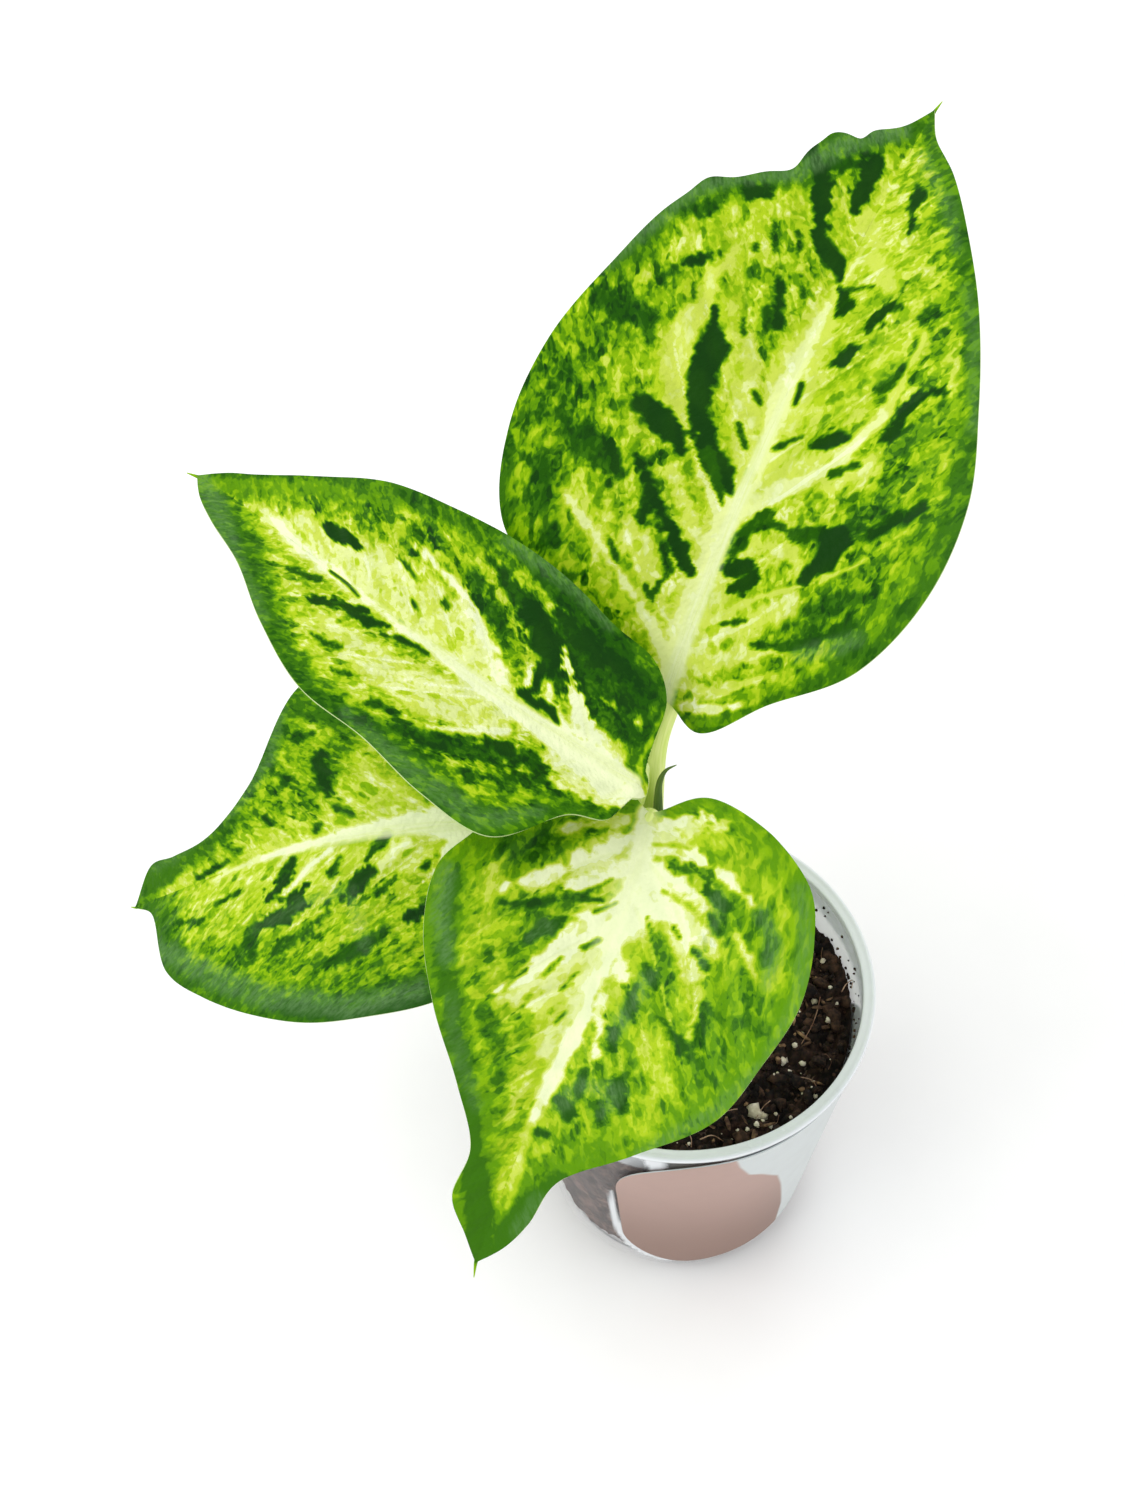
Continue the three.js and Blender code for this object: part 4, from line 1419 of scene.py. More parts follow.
UPPER_RIGHT_MARKS = brushed(
    # Broad fields.
    (LEAFY, 20, 0.0, (590, 300, 40), (560, 360, 45), (545, 430, 45), (550, 530, 40)),
    (LEAFY, 14, 0.1, (930, 420, 20), (900, 500, 30), (850, 600, 26), (760, 660, 14)),
    (YELLOW, 12, 0.1, (690, 235, 22), (760, 225, 34), (820, 215, 26), (900, 210, 24)),
    (YELLOW, 12, 0.1, (905, 230, 20), (905, 290, 24), (900, 350, 18)),
    (YELLOW, 14, 0.2, (690, 650, 26), (735, 560, 34), (775, 460, 42), (830, 340, 30), (870, 240, 22)),
    (YELLOW, 10, 0.3, (800, 440, 24), (850, 400, 22), (880, 360, 14)),
    (PALE, 8, 0.62, (685, 650, 26), (718, 570, 30), (752, 480, 32), (788, 390, 28), (836, 300, 12)),
    (PALE, 8, 0.55, (800, 480, 20), (850, 470, 16), (885, 465, 8)),
    (PALE, 6, 0.5, (884, 192, 5), (868, 222, 11), (872, 256, 13), (886, 284, 9)),
    (PALE, 6, 0.4, (660, 612, 12), (645, 560, 16), (630, 525, 10)),
    (YELLOW, 8, 0.2, (662, 640, 14), (625, 590, 14), (590, 520, 16), (568, 490, 10)),
    (PALE, 7, 0.35, (700, 640, 12), (745, 625, 16), (790, 605, 10)),
    (PALE, 5, 0.5, (690, 668, 12), (740, 655, 9), (790, 650, 3)),
    (PALE, 5, 0.5, (757, 552, 6), (790, 553, 10), (802, 570, 5)),
    (CREAM, 6, 0.85, (668, 690, 15), (684, 630, 12), (705, 560, 9), (738, 500, 15), (758, 450, 13),
     (785, 390, 10)),
    (CREAM, 4, 0.7, (785, 390, 10), (812, 340, 7), (834, 300, 4), (858, 262, 2)),
    # Pale feathers along side veins.
    (YELLOW, 7, 0.4, (738, 262, 10), (728, 300, 12), (738, 350, 18), (742, 400, 20), (744, 450, 18)),
    (PALE, 5, 0.5, (746, 320, 6), (752, 380, 12), (746, 440, 14), (744, 480, 10)),
    (PALE, 4, 0.7, (736, 250, 4), (712, 280, 9), (696, 312, 12), (674, 350, 20), (670, 388, 20),
     (692, 432, 10)),
    (YELLOW, 4, 0.4, (640, 345, 6), (652, 375, 9), (660, 392, 6)),
    (CREAM, 3, 0.9, (688, 412, 3), (696, 452, 4), (708, 492, 5), (724, 524, 8)),
    (CREAM, 3.5, 0.8, (752, 506, 10), (789, 489, 8), (823, 474, 6), (858, 440, 7), (890, 412, 6)),
    (PALE, 2.5, 0.8, (890, 412, 5), (908, 372, 3), (926, 335, 2)),
    (PALE, 2, 0.8, (725, 614, 4), (757, 598, 3), (802, 586, 2), (857, 566, 2), (906, 530, 1.5)),
    (CREAM, 3, 0.8, (562, 492, 5), (592, 528, 4), (624, 580, 4), (650, 622, 6), (667, 655, 8)),
    (PALE, 3, 0.5, (612, 555, 3), (628, 545, 8), (640, 560, 6)),
    # Lime islands.
    (YELLOW, 3, 0.3, (851, 170, 2), (838, 196, 8), (835, 222, 7), (845, 238, 3)),
    (YELLOW, 2, 0.5, (823, 226, 2.5), (826, 240, 3)),
    (YELLOW, 3, 0.3, (891, 158, 6), (889, 167, 5)),
    # Dark blotches.
    (DEEP, 2.5, 0.85, (714, 310, 2), (713, 330, 9), (711, 350, 17), (702, 380, 14), (697, 410, 10)),
    (DEEP, 2.5, 0.85, (697, 410, 10), (704, 438, 11), (713, 460, 12), (724, 472, 11), (731, 492, 3)),
    (DARK, 2.5, 0.8, (708, 455, 8), (716, 480, 5), (723, 506, 2)),
    (LIME, 1.5, 0.8, (698, 433, 2.5)),
    (DEEP, 2.5, 0.85, (641, 402, 9), (660, 420, 15), (676, 436, 10), (682, 450, 5)),
    (DEEP, 2.5, 0.75, (638, 458, 3), (650, 488, 6), (662, 514, 6), (676, 540, 7), (690, 572, 5)),
    (PALE, 4, 0.5, (672, 470, 6), (682, 500, 9), (694, 530, 7)),
    (DEEP, 2.5, 0.75, (820, 168, 8), (820, 200, 8), (821, 232, 6)),
    (DARK, 3, 0.6, (822, 167, 6), (850, 164, 5), (872, 164, 8)),
    (DEEP, 2.5, 0.75, (872, 166, 12), (862, 190, 11), (855, 212, 4)),
    (DEEP, 2.5, 0.8, (812, 232, 4), (824, 248, 11), (836, 262, 10), (841, 280, 4)),
    (DEEP, 2.5, 0.75, (812, 150, 4), (820, 180, 9), (822, 212, 7)),
    (DEEP, 3, 0.6, (920, 190, 5), (914, 212, 6), (910, 234, 2)),
    (DEEP, 3, 0.6, (745, 192, 7), (766, 190, 7)),
    (DARK, 4, 0.4, (700, 212, 6), (718, 200, 7)),
    (DEEP, 3, 0.6, (694, 262, 9), (708, 256, 5)),
    (DARK, 3, 0.5, (662, 278, 5), (672, 272, 4)),
    (DARK, 5, 0.35, (600, 300, 10), (625, 308, 15), (648, 322, 12), (650, 342, 6)),
    (DARK, 5, 0.3, (560, 372, 7), (580, 384, 9)),
    (DARK, 4, 0.45, (575, 432, 12), (600, 452, 18), (618, 470, 9)),
    (DARK, 6, 0.3, (540, 455, 12), (545, 500, 12), (548, 540, 10)),
    (DEEP, 2.5, 0.6, (778, 278, 3), (779, 300, 6), (776, 323, 3)),
    (DARK, 2, 0.6, (767, 309, 4), (766, 329, 2)),
    (DARK, 2, 0.6, (801, 277, 4), (804, 297, 2.5)),
    (DARK, 2, 0.6, (744, 320, 3.5), (743, 336, 2)),
    (DARK, 2, 0.6, (755, 247, 4)),
    (DARK, 3, 0.4, (775, 222, 3), (773, 252, 4)),
    (DARK, 2, 0.5, (798, 232, 2.5), (799, 250, 3)),
    (DEEP, 2.5, 0.6, (841, 292, 3), (847, 306, 8), (838, 316, 3)),
    (DARK, 2, 0.6, (846, 292, 3), (874, 287, 1.5)),
    (DEEP, 2.5, 0.6, (892, 307, 7), (880, 318, 7), (867, 330, 2)),
    (DEEP, 2, 0.7, (857, 350, 4), (846, 358, 6), (832, 368, 4)),
    (DEEP, 2, 0.7, (803, 385, 3), (796, 404, 2.5)),
    (DARK, 3, 0.4, (934, 312, 5), (920, 322, 4)),
    (DARK, 3, 0.5, (902, 368, 5), (890, 382, 4), (872, 395, 3)),
    (DEEP, 3, 0.5, (940, 392, 7), (918, 398, 8), (906, 414, 9), (891, 437, 7)),
    (DEEP, 2, 0.7, (850, 440, 4), (834, 438, 6), (817, 447, 3)),
    (DARK, 2, 0.7, (802, 437, 3), (776, 449, 3)),
    (DARK, 2, 0.7, (857, 466, 3.5), (832, 475, 3)),
    (DARK, 2, 0.6, (754, 392, 3), (760, 404, 2)),
    (DARK, 2, 0.6, (738, 424, 2), (745, 448, 3)),
    (DEEP, 3, 0.5, (650, 498, 6), (643, 516, 7)),
    (DARK, 2, 0.6, (609, 538, 3), (617, 560, 3)),
    (DARK, 2, 0.6, (663, 550, 2.5), (671, 572, 3), (656, 588, 3.5)),
    (DARK, 2, 0.6, (644, 586, 4), (652, 600, 2)),
    (DARK, 2.5, 0.7, (768, 516, 7), (750, 530, 8), (735, 552, 5), (728, 572, 4)),
    (DEEP, 2.5, 0.75, (730, 570, 7), (748, 567, 11), (752, 580, 6), (734, 592, 6)),
    (DARK, 2.5, 0.65, (772, 524, 6), (800, 537, 6), (830, 536, 7), (856, 530, 6)),
    (DEEP, 2.5, 0.75, (838, 540, 14), (826, 560, 12), (800, 582, 3)),
    (DEEP, 3.5, 0.5, (922, 508, 8), (900, 518, 10), (878, 532, 7)),
    (DARK, 5, 0.2, (872, 598, 8), (838, 604, 9), (812, 614, 5)),
    (DARK, 2.5, 0.6, (854, 624, 4), (823, 637, 6), (789, 647, 5), (754, 644, 3)),
    (DARK, 2, 0.6, (722, 624, 3), (745, 621, 3)),
    # Base lobe on the right and the plain margin above it.
    (GREEN, 8, 0.7, (958, 470, 6), (945, 530, 9), (920, 590, 12), (890, 630, 12), (850, 658, 9)),
    (LEAFY, 8, 0.4, (925, 530, 8), (900, 585, 14), (868, 625, 10)),
    (LIME, 5, 0.3, (684, 700, 12), (716, 704, 14), (760, 690, 10), (810, 668, 4)),
    (PALE, 3, 0.4, (684, 684, 6), (708, 694, 6), (742, 686, 6), (770, 676, 3)),
    (CREAM, 2.5, 0.5, (686, 706, 5), (712, 710, 5), (738, 704, 3)),
    (LEAFY, 3, 0.6, (690, 722, 4), (730, 722, 4), (790, 700, 4)),
)

UPPER_RIGHT = Leaf(
    node="leaf_upper_right",
    shape=LeafShape(
        base=(-2, 16.5, 112),
        length=93.5,
        heading=57,
        turn=(2, 1),
        rise=(55, 44, 18, 9),
        roll=-4,
        twist=2,
        fold=(30, 26),
        fold_change=0,
        curl=(-1, -16),
        left_widths=(18.5, 30, 33.5, 33, 29.5, 25, 15.5, 10, 3),
        right_widths=(17.5, 28.5, 33.5, 33.5, 29, 23, 16, 9, 3),
        left_lobe=(2.5, 9.5),
        right_lobe=(1.5, 7.5),
        stalk=((-4.8, 5.4, 88.6), (-4.9, 6.3, 94), (-4.7, 9, 100.4), (-3.9, 12.9, 107)),
        groove=(0.2, 1, -0.2),
        ripples=(
            (1, 0.712, 1.0, 0.02), (1, 0.803, -1.2, 0.02), (1, 0.865, 0.4, 0.012), (1, 0.897, -1.2, 0.013),
        ),
    ),
    paint=LeafPaint(
        inner=LIME,
        outer=GREEN,
        band=(4.6, 3.4),
        seed=3.7,
        mottle=0.8,
        rib_width=0.8,
        patches=UPPER_RIGHT_MARKS,
        # Painted sheen on the curled margins.
        sheen_marks=(
            (0.6, ((600, 268, 5), (640, 234, 6), (690, 192, 6), (730, 178, 6), (800, 172, 7), (840, 146, 9),
                   (900, 130, 9))),
            (0.4, ((800, 655, 5), (830, 648, 8), (858, 640, 6))),
            (0.3, ((968, 290, 4), (975, 340, 6), (975, 430, 4))),
            (0.3, ((925, 160, 6), (950, 210, 6), (958, 250, 4))),
        ),
    ),
    hair=(942, 102),
    rows=290,
    columns=68,
)

UPPER_LEFT_MARKS = brushed(
    # Broad fields.
    (LEAFY, 8, 0.0, (380, 515, 14), (430, 545, 16), (470, 585, 16), (510, 635, 16)),
    (PALE, 7, 0.4, (300, 530, 16), (350, 560, 24), (410, 590, 28), (460, 640, 26), (500, 690, 16)),
    (PALE, 7, 0.4, (320, 625, 12), (370, 665, 20), (430, 695, 22), (490, 715, 20)),
    (YELLOW, 8, 0.1, (280, 560, 12), (300, 620, 12), (330, 670, 12), (380, 705, 10)),
    (PALE, 6, 0.2, (560, 770, 14), (600, 790, 14), (630, 800, 8)),
    (PALE, 6, 0.2, (590, 735, 14), (612, 758, 12)),
    (PALE, 5, 0.3, (548, 765, 12), (585, 782, 16), (620, 790, 14)),
    (LEAFY, 5, 0.7, (196, 482, 8), (260, 487, 10), (330, 491, 8), (400, 505, 4)),
    # Dark quarter above the midrib.
    (DARK, 5, 0.6, (540, 575, 7), (580, 610, 12), (618, 650, 15), (645, 690, 11)),
    (DARK, 4, 0.5, (488, 560, 5), (513, 592, 8), (538, 622, 14), (560, 655, 22), (600, 672, 26),
     (636, 700, 18)),
    (DARK, 5, 0.2, (560, 680, 14), (600, 715, 14), (640, 735, 12)),
    (DEEP, 4, 0.7, (530, 608, 8), (548, 638, 14), (566, 668, 14), (580, 692, 8)),
    (DEEP, 5, 0.6, (556, 612, 7), (585, 640, 13), (612, 662, 13), (636, 690, 8)),
    (DARK, 4, 0.3, (470, 575, 7), (480, 600, 7), (500, 622, 8)),
    (LEAFY, 3, 0.1, (516, 640, 5), (520, 664, 5), (512, 680, 3)),
    (CREAM, 3, 0.6, (563, 650, 1.5), (570, 682, 6), (580, 716, 11), (592, 750, 14), (612, 776, 12)),
    (CREAM, 2, 0.8, (529, 672, 2.5), (526, 690, 6.5)),
    (CREAM, 2.5, 0.8, (549, 684, 4), (549, 704, 5), (560, 728, 8), (566, 750, 10)),
    (DEEP, 2, 0.8, (541, 664, 4), (536, 690, 4), (520, 692, 4), (536, 706, 5)),
    (DEEP, 2, 0.8, (541, 702, 5), (552, 712, 5), (556, 724, 3)),
    (DARK, 3, 0.5, (628, 728, 7), (634, 740, 5)),
    (CREAM, 3.5, 0.7, (416, 545, 2), (456, 582, 4), (478, 626, 6), (500, 680, 9)),
    # Midrib band.
    (CREAM, 4, 0.6, (262, 508, 3), (296, 545, 8), (331, 572, 7), (372, 606, 5), (400, 630, 4)),
    (CREAM, 4, 0.9, (400, 630, 4), (445, 662, 5), (484, 690, 7), (530, 722, 10), (575, 755, 15),
     (612, 782, 18), (640, 796, 12)),
    (MILK, 5, 0.8, (445, 662, 2), (484, 690, 3), (530, 722, 5), (575, 753, 9), (606, 774, 11)),
    (CREAM, 2.5, 0.8, (409, 725, 2), (449, 731, 3.5), (505, 733, 5)),
    (CREAM, 1.5, 0.8, (357, 663, 1), (392, 679, 1.5), (441, 686, 1.5), (484, 692, 2)),
    # Dark flecks.
    (DEEP, 2, 0.8, (327, 526, 4), (341, 535, 8), (360, 547, 4)),
    (DARK, 2, 0.7, (400, 558, 3), (409, 568, 4), (419, 580, 2)),
    (DARK, 2, 0.6, (446, 598, 3), (449, 608, 4)),
    (DARK, 2, 0.6, (412, 600, 2), (416, 608, 2.5)),
    (DARK, 1.5, 0.7, (330, 573, 1.2), (345, 584, 2), (358, 598, 1.5)),
    (DEEP, 2, 0.75, (308, 598, 2), (335, 606, 5), (366, 612, 3)),
    (DEEP, 2, 0.75, (347, 612, 2), (368, 622, 5), (389, 628, 2)),
    (DEEP, 2, 0.75, (380, 635, 1.5), (402, 641, 3.5), (428, 655, 1.5)),
    (DARK, 2.5, 0.5, (288, 570, 4), (304, 577, 4), (320, 580, 3)),
    (DARK, 2, 0.6, (310, 634, 2), (325, 643, 3), (340, 647, 3)),
    (DARK, 2, 0.6, (332, 670, 2), (349, 676, 3)),
    (DARK, 5, 0.2, (300, 690, 4), (330, 712, 5), (362, 724, 6)),
    (DARK, 3, 0.5, (370, 702, 4), (396, 714, 3)),
    (DARK, 5, 0.3, (398, 730, 6), (430, 743, 11), (475, 750, 12), (520, 757, 9), (545, 772, 6)),
    (DEEP, 3, 0.5, (410, 738, 3), (440, 748, 6)),
    (DEEP, 3, 0.5, (488, 744, 5), (508, 750, 7), (520, 762, 4)),
    (DARK, 5, 0.2, (470, 776, 6), (510, 782, 7), (545, 786, 5)),
    (LIME, 2, 0.6, (662, 716, 2), (650, 742, 2.5), (638, 766, 2.5), (641, 784, 2.5), (647, 797, 2)),
)

UPPER_LEFT = Leaf(
    node="leaf_upper_left",
    shape=LeafShape(
        base=(-8, 1, 113.5),
        length=77,
        heading=157,
        turn=(-23, -2),
        rise=(25, 28, 20, -15),
        roll=-3,
        twist=-3,
        fold=(20, 30),
        curl=(-17, -14),
        left_widths=(11, 21, 21, 19, 18.5, 14, 8.5, 5.5, 3),
        right_widths=(16, 17, 18.5, 18.5, 17, 14.5, 9.5, 5, 2.5),
        left_lobe=(-1.5, 8.5),
        right_lobe=(-1.5, 12),
        stalk=((-3.4, 3.9, 75), (-7.8, 4.8, 84), (-8.8, 5.6, 95), (-6.8, 6.7, 105.5), (-7, 4.8, 111)),
        groove=(1, 0, 0.3),
        neck=2.6,
    ),
    paint=LeafPaint(
        inner=LIME,
        outer=GREEN,
        band=(7.0, 4.5),
        seed=11.3,
        mottle=0.85,
        grain=(1.35, 1.2),
        rib=0.7,
        rib_width=0.6,
        lift=0.04,
        patches=UPPER_LEFT_MARKS,
        # Painted sheen on the curled margins.
        sheen_marks=(
            (0.5, ((508, 542, 5), (545, 563, 9), (580, 592, 7), (610, 625, 4))),
            (0.4, ((345, 714, 4), (398, 762, 8), (441, 794, 11), (480, 820, 8), (540, 812, 4))),
            (0.4, ((203, 478, 6), (215, 505, 10), (236, 560, 7), (262, 620, 4))),
        ),
    ),
    hair=(187, 473),
    lean=1.2,
)

LOWER_LEFT_MARKS = brushed(
    # Broad fields.
    (GREEN, 8, 0.55, (296, 702, 16), (325, 716, 12), (350, 738, 6)),
    (DARK, 8, 0.8, (285, 1008, 8), (350, 1018, 12), (430, 1005, 12)),
    (LEAFY, 12, 0.0, (260, 800, 20), (300, 790, 26), (330, 760, 22)),
    (YELLOW, 10, 0.1, (370, 780, 16), (400, 800, 18), (420, 815, 14)),
    (YELLOW, 9, 0.0, (260, 890, 14), (320, 870, 22), (400, 850, 22), (450, 860, 16)),
    (LEAFY, 10, 0.1, (210, 950, 14), (270, 960, 18), (340, 975, 18), (410, 950, 16)),
    # Midrib band.
    (CREAM, 4, 0.8, (470, 832, 15), (435, 822, 14), (400, 824, 9), (374, 829, 7)),
    (CREAM, 3, 0.8, (374, 829, 7), (335, 838, 5), (295, 849, 4.5), (260, 860, 3)),
    (PALE, 2.5, 0.6, (260, 860, 3), (232, 872, 2.5), (212, 882, 1.5)),
    (CREAM, 1.5, 0.9, (332, 850, 2.5), (311, 866, 2.5), (290, 890, 2), (266, 916, 1.5)),
    (PALE, 3, 0.3, (405, 842, 6), (385, 862, 4), (372, 880, 2)),
    (CREAM, 3, 0.5, (460, 835, 8), (445, 858, 4), (425, 882, 2)),
    (PALE, 3, 0.4, (350, 800, 3), (330, 815, 3)),
    # Dark blotches.
    (DEEP, 3, 0.6, (319, 758, 7), (321, 775, 6), (329, 793, 4)),
    (DARK, 3, 0.5, (274, 770, 4), (284, 782, 5)),
    (DARK, 3, 0.4, (297, 737, 4), (311, 735, 3)),
    (DEEP, 2, 0.6, (266, 817, 3), (272, 824, 3)),
    (DARK, 2.5, 0.5, (319, 826, 4), (316, 832, 3)),
    (DARK, 3, 0.4, (338, 808, 4), (352, 814, 4)),
    (DARK, 4, 0.3, (225, 846, 4), (240, 852, 4)),
    (DARK, 3, 0.35, (388, 836, 5), (376, 850, 5), (366, 862, 3)),
    (DARK, 3, 0.35, (341, 858, 3), (333, 872, 4)),
    (DEEP, 2.5, 0.6, (294, 862, 5), (284, 882, 7), (270, 900, 4)),
    (DEEP, 2.5, 0.6, (307, 888, 5), (297, 904, 9), (280, 918, 8), (258, 928, 5)),
    (DEEP, 2.5, 0.6, (371, 870, 5), (357, 884, 8), (343, 898, 5)),
    (DARK, 3, 0.35, (394, 878, 4), (380, 892, 5)),
    (DARK, 3.5, 0.3, (436, 856, 3), (424, 868, 4)),
    (DEEP, 2.5, 0.6, (426, 908, 6), (411, 919, 5)),
    (DARK, 3.5, 0.4, (386, 930, 4), (362, 946, 8), (336, 960, 6), (318, 974, 4)),
    (DARK, 3, 0.3, (330, 905, 3), (318, 922, 4)),
    (DARK, 3, 0.5, (312, 926, 5), (296, 940, 6), (279, 952, 8)),
    (DARK, 4, 0.4, (258, 930, 5), (250, 952, 8), (235, 962, 5)),
    (DARK, 2.5, 0.5, (176, 925, 2), (190, 922, 3), (205, 920, 2)),
    (DARK, 2.5, 0.4, (217, 905, 2), (240, 892, 3)),
    (DARK, 3, 0.3, (200, 878, 3), (228, 862, 3)),
    (GREEN, 4, 0.8, (148, 888, 9), (165, 876, 11), (182, 868, 6)),
)

LOWER_LEFT = Leaf(
    node="leaf_lower_left",
    shape=LeafShape(
        base=(-12.5, 4, 96),
        length=79.5,
        heading=176,
        turn=(6, -13),
        rise=(18, -14, -40, -40),
        roll=-17,
        twist=0,
        fold=(14, 10),
        curl=(-15, -17),
        left_widths=(16.5, 22.5, 26.5, 27.5, 27, 24, 19.5, 13.5, 2.5),
        right_widths=(16, 21.5, 25, 26.5, 25, 12, 6.5, 5.5, 5.5),
        left_lobe=(2, 9),
        right_lobe=(2, 9),
        stalk=((-1.4, 1.6, 60), (-6.4, 1.9, 69), (-10.6, 2.5, 80), (-12.9, 3.6, 90)),
        groove=(1, 0, 0.5),
    ),
    paint=LeafPaint(
        inner=LIME,
        outer=GREEN,
        band=(7.5, 4.5),
        seed=23.1,
        mottle=0.68,
        grain=(1.3, 1.0),
        rib_width=0.7,
        lift=0.09,
        patches=LOWER_LEFT_MARKS,
        # Painted sheen on the curled margins.
        sheen_marks=(
            (0.5, ((163, 951, 9), (216, 978, 11), (269, 998, 11), (348, 1008, 10), (420, 990, 8))),
            (0.4, ((281, 708, 4), (270, 758, 5), (237, 806, 4), (189, 843, 4), (160, 866, 4))),
            (0.3, ((258, 930, 4), (300, 905, 5), (350, 890, 4), (365, 945, 6))),
        ),
    ),
    hair=(131, 907),
    lean=1.25,
)

